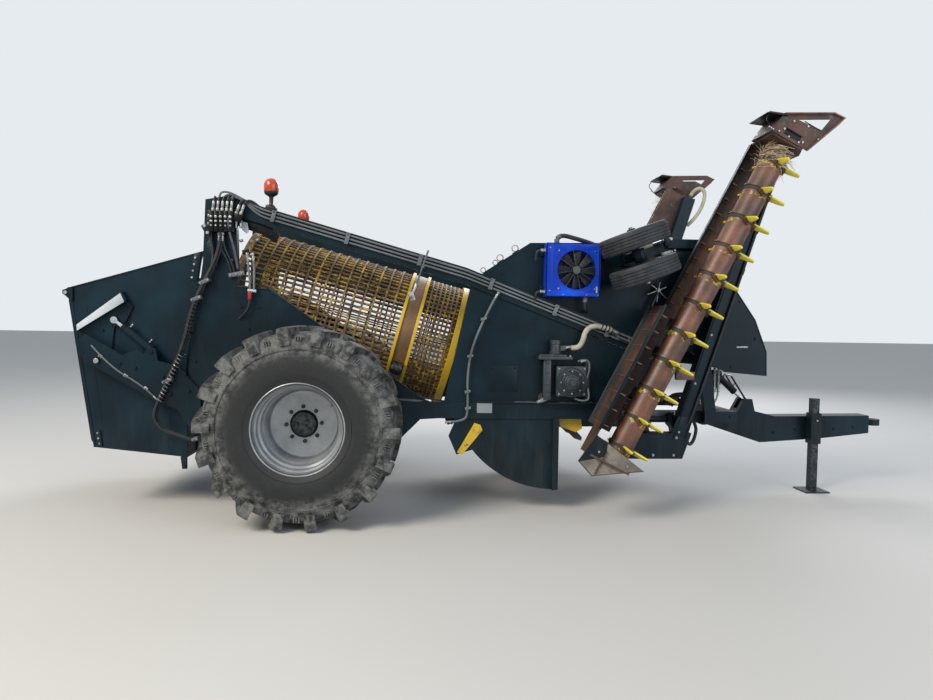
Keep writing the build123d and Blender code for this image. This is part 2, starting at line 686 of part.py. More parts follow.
roof_outline = [(-184, head_base - 1), (-157, head_base + 166), (-36, head_base + 234),
                (-32, head_base + 226), (-149, head_base + 160), (-176, head_base - 1)]
cover_outline = [(-265, head_base + 114), (-145, head_base + 161), (-148, head_base + 169),
                 (-268, head_base + 122)]


def reel_side(inwards):
    """Upright plane beside the reel, facing outwards: x square to the reel, y up the reel."""
    return Plane(origin=reel_plane.origin + reel_plane.y_dir * inwards, x_dir=reel_plane.x_dir,
                 z_dir=-reel_plane.y_dir)


def along_reel(points, start, length):
    """A length of a section that runs up the reel."""
    with BuildSketch(reel_plane.offset(start)) as face:
        outline(points)
    extrude(face.sketch, amount=length)


with BuildPart() as guard:
    for plate_outline, start in [(foot_outline, -end_gap - end_plate),
                                 (crown_outline, reel_length + end_gap)]:
        with BuildSketch(reel_plane.offset(start)):
            outline(plate_outline)
            Circle(reel_shaft + running, mode=Mode.SUBTRACT)
        extrude(amount=end_plate)
    along_reel([(-wall_far, -130), (sheet - wall_far, -130), (sheet - wall_far, 80), (-wall_far, 80)],
               -end_gap, wall_start + end_gap)
    along_reel([(-wall_far, -130), (sheet - wall_far, -130), (sheet - wall_far, arm_face - sheet),
                (-60, arm_face - sheet), (-60, arm_face), (-wall_far, arm_face)],
               wall_start, wall_length - wall_start)
    along_reel([(-wall_near, channel_edge), (sheet - wall_near, channel_edge),
                (sheet - wall_near, arm_face - sheet), (150, arm_face - sheet), (150, arm_face),
                (-wall_near, arm_face)],
               wall_length - 1, reel_length + end_gap + 2 - wall_length)
    for rib_outline, first, last in ribs:
        starts = [first + rib_pitch * k for k in range(int((last - first) / rib_pitch) + 1)]
        with BuildSketch(*[reel_plane.offset(start) for start in starts]):
            outline(rib_outline)
        extrude(amount=rib_thick)
    for inwards in (head_plate - head_half, head_half):
        with BuildSketch(reel_side(inwards)):
            outline(head_outline)
            for hole in (head_window, head_slot):
                Polygon(*hole, align=None, mode=Mode.SUBTRACT)
        extrude(amount=head_plate)
    with BuildSketch(reel_side(head_half)):
        outline(roof_outline)
        outline(cover_outline)
    extrude(amount=2 * head_half)
    slab([(2165, 525), (2310, 735), (2700, 440), (2274, 405)], skid_outer, skid_plate)
    along_reel([(-250, reel_y - skid_outer), (-150, reel_y - skid_outer), (-150, -100), (-250, -100)],
               -end_gap - end_plate, 160)
export_pair(guard.part, "reel_guard")

# Reels: a tube on a shaft with stations of three flat tines, each station turned from the last
tine_pitch = (reel_length - 280) / (tine_stations - 1)
tine_root = reel_tube - 5
shaft_out = end_gap + end_plate + 8
stub_in = 60
with BuildPart() as reel:
    with BuildSketch(reel_plane):
        RegularPolygon(reel_tube, tube_flats)
        RegularPolygon(reel_tube - reel_wall, tube_flats, mode=Mode.SUBTRACT)
    extrude(amount=reel_length)
    for start in (0, reel_length - end_disc):
        with BuildSketch(reel_plane.offset(start)):
            RegularPolygon(reel_tube, tube_flats)
            with PolarLocations((reel_tube + reel_shaft) / 2, disc_holes):
                RegularPolygon(16, 8, mode=Mode.SUBTRACT)
        extrude(amount=end_disc)
    for start in (-shaft_out, reel_length - stub_in):
        with BuildSketch(reel_plane.offset(start)):
            Circle(reel_shaft)
        extrude(amount=shaft_out + stub_in)
    for k in range(tine_stations):
        with BuildSketch(reel_plane.offset(140 + tine_pitch * k)):
            with PolarLocations(0, 3, start_angle=47 * k):
                outline([(tine_root, -tine_width / 2), (tine_reach, -10), (tine_reach, 10),
                         (tine_root, tine_width / 2)])
        extrude(amount=tine_thick)
export_pair(reel.part, "reel")


def ram(start, end, normal):
    """The plane at a ram's base, facing its eye with x along the pins, and the distance between both."""
    along = Vector(*end) - Vector(*start)
    return Plane(origin=start, x_dir=normal, z_dir=along.normalized()), along.length


def eye(plane, radius, mode=Mode.ADD):
    """A round eye about the plane's x, in the part that is open."""
    start = Plane(origin=plane.origin - plane.x_dir * ram_eye_width / 2, x_dir=plane.y_dir, z_dir=plane.x_dir)
    with BuildSketch(start) as face:
        Circle(radius)
    extrude(face.sketch, amount=ram_eye_width, mode=mode)


def barrel(plane, length):
    """A ram's barrel with its base eye, in the part that is open."""
    with BuildSketch(plane.offset(ram_eye - 6)) as tube:
        Circle(ram_barrel)
    extrude(tube.sketch, amount=length)
    eye(plane, ram_eye)
    eye(plane, ram_pin + running, Mode.SUBTRACT)
    with BuildSketch(plane.offset(ram_eye + 12)) as hollow:
        Circle(ram_rod + gap)
    extrude(hollow.sketch, amount=length, mode=Mode.SUBTRACT)


def rod(plane, length, inside):
    """A ram's rod with its eye, in the part that is open."""
    with BuildSketch(plane.offset(inside)) as shank:
        Circle(ram_rod)
    extrude(shank.sketch, amount=length - inside - ram_eye + 8)
    eye(plane.offset(length), ram_eye - 4)


# Rams of the windrowers, the hopper and the drawbar
rod_inside = ram_eye + 30    # from the base pin to the rod's inner end
rod_bare = 110               # from the barrel's end towards the rod's eye, at rest
lift_inside = 150
lift_bare = 165
fold_plane, fold_length = ram((axle_x + ram_x, -fold_base[0], fold_base[1]),
                              (axle_x + ram_x, -fold_eye[0], fold_eye[1]), (1, 0, 0))
with BuildPart() as fold_barrel:
    barrel(fold_plane, fold_length - rod_bare)
export_pair(fold_barrel.part, "fold_barrel")
with BuildPart() as fold_rod:
    rod(fold_plane, fold_length, rod_inside)
export_pair(fold_rod.part, "fold_rod")

tilt_plane, tilt_length = ram((axle_x + tilt_base[0], -tilt_y, tilt_base[1]),
                              (axle_x + tilt_eye[0], -tilt_y, tilt_eye[1]), (0, 1, 0))
with BuildPart() as tilt_barrels:
    barrel(tilt_plane, tilt_length - rod_bare)
    mirror(about=Plane.XZ)
tilt_barrels.part.label = "tilt_barrels"
export_step(tilt_barrels.part, "parts/tilt_barrels.step")
with BuildPart() as tilt_rods:
    rod(tilt_plane, tilt_length, rod_inside)
    mirror(about=Plane.XZ)
tilt_rods.part.label = "tilt_rods"
export_step(tilt_rods.part, "parts/tilt_rods.step")

lift_plane, lift_length = ram((axle_x + lift_base[0], 0, lift_base[1]),
                              (axle_x + lift_eye[0], 0, lift_eye[1]), (0, 1, 0))
with BuildPart() as lift_barrel:
    barrel(lift_plane, lift_length - lift_bare)
lift_barrel.part.label = "lift_barrel"
export_step(lift_barrel.part, "parts/lift_barrel.step")
with BuildPart() as lift_rod:
    rod(lift_plane, lift_length, lift_inside)
lift_rod.part.label = "lift_rod"
export_step(lift_rod.part, "parts/lift_rod.step")

# Hopper: side walls with a top flange, a sloping floor, a low front wall, tip bosses and ram brackets
rear_top = (-1962, 1838)
rear_low = (-1765, 520)
front_foot = (-1016, 438)
hopper_outline = [rear_top, rear_low, front_foot, (-1032, 1190), (-905, 2080), (-885, 2160)]
front_wall_top = 680
flange_outline = [rear_top, (-885, 2160), (-890, 2120), (-1956, 1798)]
boss_radius = 50
ram_bracket = [(-1880, 1480), (-1500, 1745), (-1450, 1690), (-1510, 1560), (-1600, 1520), (-1640, 1200),
               (-1760, 1200), (-1830, 1400)]
top_strip = [(-1880, 1480), (-1870, 1540), (-1520, 1808), (-1480, 1740), (-1500, 1725)]
gate_ear = [(-1948, 1730), (-1985, 1768), (-2010, 1785), (-2010, 1815), (-1985, 1822), (-1962, 1838),
            (-1930, 1838), (-1930, 1730)]
gate_pin = 12
ear_outer = hopper_outer + 18
with BuildPart() as hopper:
    slab(hopper_outline, hopper_outer, hopper_wall)
    slab(flange_outline, hopper_outer, 40)
    slab(ram_bracket, hopper_outer + 20, 20)
    slab(top_strip, hopper_outer + 75, 75)
    slab(gate_ear, ear_outer, ear_outer - hopper_outer)
    rod_y(tip_pin[0], tip_pin[1], boss_radius, 8 - frame_outer, -hopper_outer)
    rod_y(tip_pin[0], tip_pin[1], tip_pin_radius + running, -frame_outer, -hopper_outer - 8,
          mode=Mode.SUBTRACT)
    rod_y(gate_hinge[0], gate_hinge[1], gate_pin + running, -ear_outer, -hopper_outer, mode=Mode.SUBTRACT)
    mirror(about=Plane.XZ)
    with BuildSketch(side(hopper_outer)):
        outline([(-1765, 520), front_foot, (-1016, front_wall_top), (-1026, front_wall_top), (-1026, 449),
                 (-1764, 530)])
    extrude(amount=2 * hopper_outer)
hopper.part.label = "hopper"
export_step(hopper.part, "parts/hopper.step")

# Tailgate: a plate behind the hopper's rear edges that hangs on a tube, with ribs down its outside
edge = Vector(rear_low[0] - rear_top[0], rear_low[1] - rear_top[1])
gate_length = edge.length
down = edge.normalized()
back = Vector(down.Y, -down.X)


def gate_point(along, out):
    """A point of the tailgate: along the hopper's rear edge from its top, and out behind it."""
    return (rear_top[0] + down.X * along + back.X * out, rear_top[1] + down.Y * along + back.Y * out)


hinge_along = (gate_hinge[0] - rear_top[0]) * down.X + (gate_hinge[1] - rear_top[1]) * down.Y
gate_plate = 12
gate_tube = 20
rib_out = 32
rib_count = 4
rib_width = 60
gate_rib_pitch = (2 * hopper_outer - 40 - rib_width) / (rib_count - 1)
with BuildPart() as tailgate:
    slab([gate_point(hinge_along, gap), gate_point(gate_length, gap), gate_point(gate_length, gate_plate),
          gate_point(hinge_along, gate_plate)], hopper_outer, 2 * hopper_outer)
    rod_y(gate_hinge[0], gate_hinge[1], gate_tube, 2 - hopper_outer, hopper_outer - 2)
    rod_y(gate_hinge[0], gate_hinge[1], gate_pin, -ear_outer, ear_outer)
    for k in range(rib_count):
        slab([gate_point(hinge_along + 40, gate_plate), gate_point(gate_length - 20, gate_plate),
              gate_point(gate_length - 60, rib_out), gate_point(hinge_along + 60, rib_out)],
             hopper_outer - 20 - gate_rib_pitch * k, rib_width)
tailgate.part.label = "tailgate"
export_step(tailgate.part, "parts/tailgate.step")

# Rear brackets: plates from the columns back to the hopper's tip pins, with the rams' base pins
rear_bracket = [(-1870, 1392), (-1796, 1457), (-1504, 1290), (-1385, 1341), (-1330, 1305), (-1305, 1352),
                (-1240, 1352), (-1222, 1250), (-1072, 1205), (-880, 1010), (-880, 700), (-936, 649),
                (-1060, 850), (-1247, 927), (-1696, 1184), (-1800, 1230)]
bracket_outer = frame_outer + gap + bracket_thick
with BuildPart() as rear_brackets:
    slab(rear_bracket, bracket_outer, bracket_thick)
    rod_y(tip_pin[0], tip_pin[1], tip_pin_radius, -bracket_outer - 15, -hopper_outer - 14)
    rod_y(tilt_base[0], tilt_base[1], ram_pin, -bracket_outer, -tilt_y + ram_eye_width / 2)
    mirror(about=Plane.XZ)
rear_brackets.part.label = "rear_brackets"
export_step(rear_brackets.part, "parts/rear_brackets.step")

# Drawbar: a box beam that dips and rises, a forked knee for the ram, a hitch eye and the jack's sleeve
drawbar_half = 90
fork_half = 40
eye_half = 30
leg_half = 35
sleeve_wall = 15
sleeve_side = -jack_y - leg_half - sleeve_wall   # |Y| of the jack sleeve's inner face
drawbar_outline = [(3650, 715), (3650, 665), (4278, 462), (front_reach - 658, 505), (front_reach - 160, 560),
                   (front_reach - 160, 735), (4424, 722),
                   (4220, 770), (4190, 890), (4110, 890), (4040, 760), (3780, 715)]
with BuildPart() as drawbar:
    slab(drawbar_outline, drawbar_half, 2 * drawbar_half)
    slab([(4050, 790), (4250, 790), (4250, 900), (4050, 900)], fork_half, 2 * fork_half, mode=Mode.SUBTRACT)
    rod_y(drawbar_pivot[0], drawbar_pivot[1], 55, -100, 100)
    rod_y(drawbar_pivot[0], drawbar_pivot[1], drawbar_pin + running, -101, 101, mode=Mode.SUBTRACT)
    with BuildSketch(Plane(origin=(axle_x, 0, eye_height - eye_half))):
        with Locations((front_reach - eye_outer, 0)):
            Circle(eye_outer)
        with Locations((front_reach - 130, 0)):
            Rectangle(80, 90)
        with Locations((front_reach - eye_outer, 0)):
            Circle(eye_bore, mode=Mode.SUBTRACT)
    extrude(amount=2 * eye_half)
    with BuildSketch(Plane(origin=(axle_x + jack_x, jack_y, 470))):
        Rectangle(2 * leg_half + 2 * sleeve_wall, 2 * leg_half + 2 * sleeve_wall)
        Rectangle(2 * leg_half + 2 * gap, 2 * leg_half + 2 * gap, mode=Mode.SUBTRACT)
    extrude(amount=300)
    with BuildSketch(Plane(origin=(axle_x + jack_x, -(drawbar_half + sleeve_side) / 2, 560))):
        Rectangle(80, sleeve_side - drawbar_half + 2)
    extrude(amount=120)
drawbar.part.label = "drawbar"
export_step(drawbar.part, "parts/drawbar.step")

# Parking jack: a square leg with a foot
with BuildPart() as jack_leg:
    with BuildSketch(Plane(origin=(axle_x + jack_x, jack_y, 0))):
        Rectangle(240, 240)
    extrude(amount=12)
    with BuildSketch(Plane(origin=(axle_x + jack_x, jack_y, 12))):
        Rectangle(2 * leg_half, 2 * leg_half)
    extrude(amount=900)
jack_leg.part.label = "jack_leg"
export_step(jack_leg.part, "parts/jack_leg.step")

# Oil cooler with its fan, on the right-hand side of the hood
cooler_low = (1956, 1832)
cooler_high = (2410, 2282)
cooler_face = frame_outer + 65                   # |Y| of its outer face
fan_centre = (2215, 2058)
fan_radius = 158
fan_recess = 60
fan_pin = 18
fan_hub = 45
fan_blades = 8
fan_blade = [(30, -14), (fan_radius, -34), (fan_radius, 26), (30, 12)]
with BuildPart() as cooler:
    slab([cooler_low, (cooler_high[0], cooler_low[1]), cooler_high, (cooler_low[0], cooler_high[1])],
         cooler_face, cooler_face - frame_inner)
    rod_y(fan_centre[0], fan_centre[1], fan_radius + 8, -cooler_face, fan_recess - cooler_face,
          mode=Mode.SUBTRACT)
    rod_y(fan_centre[0], fan_centre[1], fan_pin, 10 - cooler_face, fan_recess - cooler_face)
cooler.part.label = "oil_cooler"
export_step(cooler.part, "parts/oil_cooler.step")
with BuildPart() as fan:
    rod_y(fan_centre[0], fan_centre[1], fan_hub, 14 - cooler_face, 45 - cooler_face)
    with BuildSketch(side(38 - cooler_face)):
        with Locations(fan_centre):
            with PolarLocations(0, fan_blades):
                outline(fan_blade)
    extrude(amount=12)
    rod_y(fan_centre[0], fan_centre[1], fan_pin + running, -cooler_face, fan_recess - cooler_face,
          mode=Mode.SUBTRACT)
fan.part.label = "cooler_fan"
export_step(fan.part, "parts/cooler_fan.step")

# Rotor drive: gearbox, motor and its bracket on the right-hand panel
panel_face = frame_outer - 20 + gap
gearbox = (2190, 1112, 105)  # centre and radius
gearbox_face = frame_outer + 135
flange_plate = [(1905, 1300), (2180, 1300), (2180, 1345), (1905, 1345)]
motor = (2050, 48, 125)      # forward, radius and height, upright on the flange plate
pillar_outline = [(1948, 1060), (2090, 1060), (2110, 1300), (1948, 1300)]
pillar_face = frame_outer + 85
with BuildPart() as drive:
    rod_y(gearbox[0], gearbox[1], gearbox[2], -gearbox_face, -panel_face)
    slab(flange_plate, pillar_face + 10, pillar_face + 10 - frame_outer)
    with BuildSketch(Plane(origin=(axle_x + motor[0], -frame_outer - 50, flange_plate[2][1]))):
        Circle(motor[1])
    extrude(amount=motor[2])
    slab(pillar_outline, pillar_face, pillar_face - panel_face)
drive.part.label = "rotor_drive"
export_step(drive.part, "parts/rotor_drive.step")

# Rests that hold the folded arms apart from the hood
with BuildPart() as rests:
    slab([(3026, 2271), (3650, 2271), (3650, 2348), (3026, 2348)], arm_inner - 6, arm_inner - 6 - frame_inner)
    mirror(about=Plane.XZ)
rests.part.label = "arm_rests"
export_step(rests.part, "parts/arm_rests.step")

# Beacons on the rear ends of the top rails: a foot cut to the rail's slope, a stem and a lamp
beacon_x = -330
beacon_y = (frame_inner + frame_outer) / 2
beacon_foot = 42
beacon_stem = 22
beacon_lamp = 58
beacon_levels = [2532, 2590, 2710]               # tops of the foot, stem and lamp
rail_slope = (rail_bend[1] + rail_depth - rail_rear[1]) / (rail_bend[0] - rail_rear[0])
foot_ends = (beacon_x - beacon_foot, beacon_x + beacon_foot)
foot_low = [rail_rear[1] + gap + rail_slope * (x - rail_rear[0]) for x in foot_ends]
with BuildPart() as beacons:
    slab([(foot_ends[0], foot_low[0]), (foot_ends[1], foot_low[1]), (foot_ends[1], beacon_levels[0]),
          (foot_ends[0], beacon_levels[0])], beacon_y + 30, 60)
    with BuildSketch(Plane(origin=(axle_x + beacon_x, -beacon_y, beacon_levels[0]))):
        Circle(beacon_stem)
    extrude(amount=beacon_levels[1] - beacon_levels[0])
    with BuildSketch(Plane(origin=(axle_x + beacon_x, -beacon_y, beacon_levels[1]))):
        Circle(beacon_lamp)
    extrude(amount=beacon_levels[2] - beacon_levels[1], taper=6)
    mirror(about=Plane.XZ)
beacons.part.label = "beacons"
export_step(beacons.part, "parts/beacons.step")

# Valve block on the right-hand column, with a row of hose ends on top and a bolted plate at its rear
valve_corner = (-800, 2300)
valve_size = (190, 170)
valve_depth = 85
valve_face = frame_outer + gap + valve_depth
hose_ends = 5
end_start = 22               # from the block's rear edge to the first hose end
end_pitch = 36
end_radius = 13
end_height = 70
with BuildPart() as valves:
    slab([valve_corner, (valve_corner[0] + valve_size[0], valve_corner[1]),
          (valve_corner[0] + valve_size[0], valve_corner[1] + valve_size[1]),
          (valve_corner[0], valve_corner[1] + valve_size[1])], valve_face, valve_depth)
    for k in range(hose_ends):
        end_x = valve_corner[0] + end_start + end_pitch * k
        with BuildSketch(Plane(origin=(axle_x + end_x, -frame_outer - 45, valve_corner[1] + valve_size[1]))):
            RegularPolygon(end_radius, 8)
        extrude(amount=end_height)
    slab([(-866, 2345), (-830, 2372), (-790, 2330), (-790, 2290), (-818, 2262)], valve_face - 20, 20)
valves.part.label = "valve_block"
export_step(valves.part, "parts/valve_block.step")


def pipe(points, y, radius):
    """A bent pipe beside the machine, through points in side view."""
    with BuildLine(side(y)) as route:
        Polyline(*points)
    with BuildSketch(Plane(origin=route.line @ 0, z_dir=route.line % 0)) as section:
        RegularPolygon(radius, 8)
    sweep(section.sketch, path=route.line, transition=Transition.RIGHT)


def clip(x, z, wide, high, face, outer):
    """A block that holds a pipe to a face of the frame."""
    slab([(x - wide / 2, z - high / 2), (x + wide / 2, z - high / 2), (x + wide / 2, z + high / 2),
          (x - wide / 2, z + high / 2)], outer, outer - face - gap)


# Pipes from the valve block's hose ends over its top and forward along the top rail's outer face
pipe_radius = 9
pipe_y = -frame_outer - 16
pipe_pitch = 30
pipe_below = 25              # from the rail's upper edge down to the first pipe
pipe_cover = -pipe_y + pipe_radius + 4           # |Y| of the clips' outer faces
pipe_end = 2560
pipe_clips = [-300, 300, 900, 1500, 2050, 2500]


def rail_level(x, below):
    """Height of a line that follows the top rail's upper edge at a distance below it."""
    if x < rail_bend[0]:
        share = (x - rail_rear[0]) / (rail_bend[0] - rail_rear[0])
        return rail_rear[1] + (rail_bend[1] + rail_depth - rail_rear[1]) * share - below
    share = (x - rail_bend[0]) / (rail_foot[0] - rail_bend[0])
    return rail_bend[1] + rail_depth + (rail_foot[1] - rail_bend[1]) * share - below


pipe_top = valve_corner[1] + valve_size[1] + end_height
with BuildPart() as rail_pipes:
    for k in range(3):
        below = pipe_below + pipe_pitch * k
        rise_x = valve_corner[0] + end_start + end_pitch * (k + 1)
        crest = 2625 - 22 * k
        pipe([(rise_x, pipe_top + gap), (rise_x, crest - 30), (rise_x + 28, crest), (rise_x + 90, crest),
              (-420, rail_level(-420, below)), (rail_bend[0], rail_level(rail_bend[0], below)),
              (pipe_end, rail_level(pipe_end, below))], pipe_y, pipe_radius)
    for x in pipe_clips:
        clip(x, rail_level(x, pipe_below + pipe_pitch), 34, 2 * pipe_pitch + 26, frame_outer, pipe_cover)
rail_pipes.part.label = "rail_pipes"
export_step(rail_pipes.part, "parts/rail_pipes.step")

# Pipe that drops from the rail past the panel's rear post to the pick-up's cheek
drop_radius = 10
drop_route = [(1545, 1832), (1395, 1549), (1307, 1227), (1322, 838), (1289, 772), (1179, 763)]
drop_clips = [(1441, 1636, frame_outer - 20), (1332, 1320, frame_outer - 20), (1315, 1020, frame_outer - 20),
              (1320, 880, frame_outer)]
with BuildPart() as drop_pipe:
    pipe(drop_route, pipe_y, drop_radius)
    for x, z, face in drop_clips:
        clip(x, z, 50, 26, face, -pipe_y + drop_radius + 4)
drop_pipe.part.label = "drop_pipe"
export_step(drop_pipe.part, "parts/drop_pipe.step")

# Bundle of hoses from the valve block down the column and past the hopper's bracket to the frame's low corner
bundle_radius = 21
bundle_y = -bracket_outer - bundle_radius - 5
bundle_route = [(-712, valve_corner[1] - gap), (-712, 2150), (-889, 1805), (-952, 1640), (-1007, 1366),
                (-1213, 909), (-1245, 790), (-1180, 690), (-1039, 640), (-925, 600)]
bundle_clips = [(-840, 1900, 80, 36, frame_outer), (-905, 1760, 80, 36, frame_outer),
                (-1132, 1090, 80, 40, bracket_outer), (-912, 614, 46, 46, frame_outer)]
with BuildPart() as bundle:
    pipe(bundle_route, bundle_y, bundle_radius)
    for x, z, wide, high, face in bundle_clips:
        clip(x, z, wide, high, face, -bundle_y + bundle_radius + 4)
bundle.part.label = "hose_bundle"
export_step(bundle.part, "parts/hose_bundle.step")

# Thin pipe along the right-hand rear bracket
thin_radius = 7
thin_route = [(-1740, 1370), (-1593, 1195), (-1342, 1050), (-1250, 960)]
thin_y = -bracket_outer - gap - thin_radius
with BuildPart() as thin_pipe:
    pipe(thin_route, thin_y, thin_radius)
thin_pipe.part.label = "bracket_pipe"
export_step(thin_pipe.part, "parts/bracket_pipe.step")

# Levers on the pick-up's cheeks, each on a pivot, and blades under the long beams ahead of the pick-up
lever_outline = [(1235, 500), (1280, 479), (1449, 690), (1430, 735), (1380, 752)]
lever_pivot = (1400, 700)
blade_outline = [(2120, beam_low + 20), (2310, beam_low + 20), (2325, 700), (2270, 665), (2130, 714)]
with BuildPart() as levers:
    slab(lever_outline, cheek_outer + gap + 12, 12)
    rod_y(lever_pivot[0], lever_pivot[1], 22, -cheek_outer - gap - 34, -cheek_outer - gap)
    mirror(about=Plane.XZ)
levers.part.label = "cheek_levers"
export_step(levers.part, "parts/cheek_levers.step")
with BuildPart() as blades:
    slab(blade_outline, frame_inner - gap, 12)
    mirror(about=Plane.XZ)
blades.part.label = "front_blades"
export_step(blades.part, "parts/front_blades.step")
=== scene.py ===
import math
import random

import bmesh
import bpy
from bpy.props import FloatProperty, FloatVectorProperty, IntProperty, PointerProperty
from mathutils import Matrix, Vector


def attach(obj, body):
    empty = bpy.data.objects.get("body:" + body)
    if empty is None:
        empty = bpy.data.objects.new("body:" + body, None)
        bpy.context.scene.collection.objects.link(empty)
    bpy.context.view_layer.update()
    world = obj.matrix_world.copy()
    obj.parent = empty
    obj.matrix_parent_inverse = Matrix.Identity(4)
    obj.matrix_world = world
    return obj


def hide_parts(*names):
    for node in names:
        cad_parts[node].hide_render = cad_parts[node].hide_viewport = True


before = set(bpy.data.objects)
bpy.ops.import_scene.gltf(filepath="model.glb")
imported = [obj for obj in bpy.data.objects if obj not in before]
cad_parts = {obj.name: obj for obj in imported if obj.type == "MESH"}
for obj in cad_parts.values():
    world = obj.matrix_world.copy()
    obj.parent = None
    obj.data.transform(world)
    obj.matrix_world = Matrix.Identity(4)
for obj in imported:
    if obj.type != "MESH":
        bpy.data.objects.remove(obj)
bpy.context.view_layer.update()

bl_info = {
    "name": "Stone picker dressing",
    "version": (1, 0, 0),
    "blender": (4, 5, 0),
    "location": "View3D > Sidebar > Stone picker",
    "description": "Dresses the packed frame of a trailed stone picker with its visible pieces and finishes",
    "category": "Object",
}

# Side views are given in millimetres from the axle, (forward, height), as in the part's own source
AXLE = -1775.0
OUT = Vector((0, -1, 0))     # away from the machine on its right-hand side
LEFT = Vector((0, 1, 0))
UP = Vector((0, 0, 1))
SIDES = (("left", 1), ("right", -1))
SMOOTH = {"interpolation_type": "SMOOTHSTEP"}
COLOUR = {"data_type": "RGBA"}


def linear(code):
    """An sRGB hex colour as linear red, green, blue and alpha."""
    parts = [int(code[k:k + 2], 16) / 255 for k in (1, 3, 5)]
    return tuple(p / 12.92 if p <= 0.04045 else ((p + 0.055) / 1.055) ** 2.4 for p in parts) + (1.0,)


def add(tree, kind, inputs=None, out=0, **settings):
    """Adds a node with its settings, its values and links, and gives back one of its outputs."""
    node = tree.nodes.new("ShaderNode" + kind)
    for key, value in settings.items():
        setattr(node, key, value)
    for key, value in (inputs or {}).items():
        if isinstance(value, bpy.types.NodeSocket):
            tree.links.new(value, node.inputs[key])
        else:
            node.inputs[key].default_value = linear(value) if isinstance(value, str) else value
    return node.outputs[out] if node.outputs else node


def finished(name, tree_of):
    """A material whose shader gets what tree_of(tree, place) returns: sockets or fixed values by input."""
    material = bpy.data.materials.new(name)
    material.use_nodes = True
    tree = material.node_tree
    tree.nodes.clear()
    place = add(tree, "TexCoord", out="Object")
    shader = add(tree, "BsdfPrincipled", tree_of(tree, place))
    add(tree, "OutputMaterial", {"Surface": shader})
    return material


def look_up(tree):
    """1 on faces that look up, where dust and rain lie."""
    normal = add(tree, "NewGeometry", out="Normal")
    height = add(tree, "SeparateXYZ", {0: normal}, out="Z")
    return add(tree, "MapRange", {"Value": height, "From Min": 0.45, "From Max": 0.95}, **SMOOTH)


def worn_edges(tree, width_mm):
    """1 along edges: where a rounded normal leaves the true one."""
    rounded = add(tree, "Bevel", {"Radius": width_mm / 1000}, samples=4)
    true = add(tree, "NewGeometry", out="Normal")
    dot = add(tree, "VectorMath", {0: rounded, 1: true}, out="Value", operation="DOT_PRODUCT")
    return add(tree, "MapRange", {"Value": dot, "From Min": 0.99, "From Max": 0.84}, **SMOOTH)


def enamel(name, colour, deep, dust="#8b8474", chips="#3b2a20", dusty=0.35, chipped=0.5, low=0.3, high=0.55):
    """Farm enamel sprayed on welded plate: a low gloss that dulls where dust lies, chipped to rust at edges."""
    def nodes(tree, place):
        broad = add(tree, "TexNoise", {"Vector": place, "Scale": 1000 / 420, "Detail": 4})
        fine = add(tree, "TexNoise", {"Vector": place, "Scale": 1000 / 24, "Detail": 5, "Roughness": 0.7})
        wave = add(tree, "TexNoise", {"Vector": place, "Scale": 1000 / 260, "Detail": 2})
        chip = add(tree, "TexNoise", {"Vector": place, "Scale": 1000 / 38, "Detail": 6, "Roughness": 0.75})
        tone = add(tree, "MapRange", {"Value": broad, "From Min": 0.35, "From Max": 0.7}, **SMOOTH)
        paint = add(tree, "Mix", {0: tone, 6: deep, 7: colour}, out=2, **COLOUR)
        # rain draws the dust down into upright streaks, and the soil's film is thicker near the ground
        tall = add(tree, "Mapping", {"Vector": place, "Scale": (1.0, 1.0, 0.18)})
        streak = add(tree, "TexNoise", {"Vector": tall, "Scale": 1000 / 90, "Detail": 4, "Roughness": 0.6})
        height = add(tree, "SeparateXYZ", {0: place}, out="Z")
        ground = add(tree, "MapRange", {"Value": height, "From Min": 1.1, "From Max": 0.2, "To Max": 0.15}, **SMOOTH)
        lying = add(tree, "Math", {0: look_up(tree), 1: 0.35, 2: ground}, operation="MULTIPLY_ADD")
        run = add(tree, "MapRange", {"Value": streak, "From Min": 0.25, "From Max": 0.75, "To Max": dusty}, **SMOOTH)
        lying = add(tree, "Math", {0: lying, 1: run}, operation="MULTIPLY")
        veil = add(tree, "MapRange", {"Value": streak, "From Min": 0.52, "From Max": 0.8, "To Max": dusty * 0.05})
        film = add(tree, "Math", {0: lying, 1: veil}, operation="ADD", use_clamp=True)
        gap = add(tree, "MapRange", {"Value": fine, "From Min": 0.47, "From Max": 0.6}, **SMOOTH)
        edge = add(tree, "Math", {0: worn_edges(tree, 3.5), 1: gap}, operation="MULTIPLY")
        spot_mask = add(tree, "MapRange", {"Value": chip, "From Min": 0.71, "From Max": 0.74}, **SMOOTH)
        bare = add(tree, "Math", {0: edge, 1: spot_mask}, operation="MAXIMUM")
        bare = add(tree, "Math", {0: bare, 1: chipped}, operation="MULTIPLY", use_clamp=True)
        dusted = add(tree, "Mix", {0: film, 6: paint, 7: dust}, out=2, **COLOUR)
        base = add(tree, "Mix", {0: bare, 6: dusted, 7: chips}, out=2, **COLOUR)
        dull = add(tree, "Math", {0: fine, 1: 0.25, 2: film}, operation="MULTIPLY_ADD")
        rough = add(tree, "MapRange", {"Value": dull, "From Max": 0.9, "To Min": low, "To Max": high + 0.2})
        rough_chip = add(tree, "Math", {0: bare, 1: 0.8}, operation="MULTIPLY")
        rough = add(tree, "Math", {0: rough, 1: rough_chip}, operation="MAXIMUM")
        level = add(tree, "Math", {0: bare, 1: -0.12, 2: wave}, operation="MULTIPLY_ADD")
        return {"Base Color": base, "Roughness": rough, "IOR": 1.45, "Specular IOR Level": 0.2,
                "Normal": add(tree, "Bump", {"Height": level, "Distance": 0.0016})}
    return finished(name, nodes)


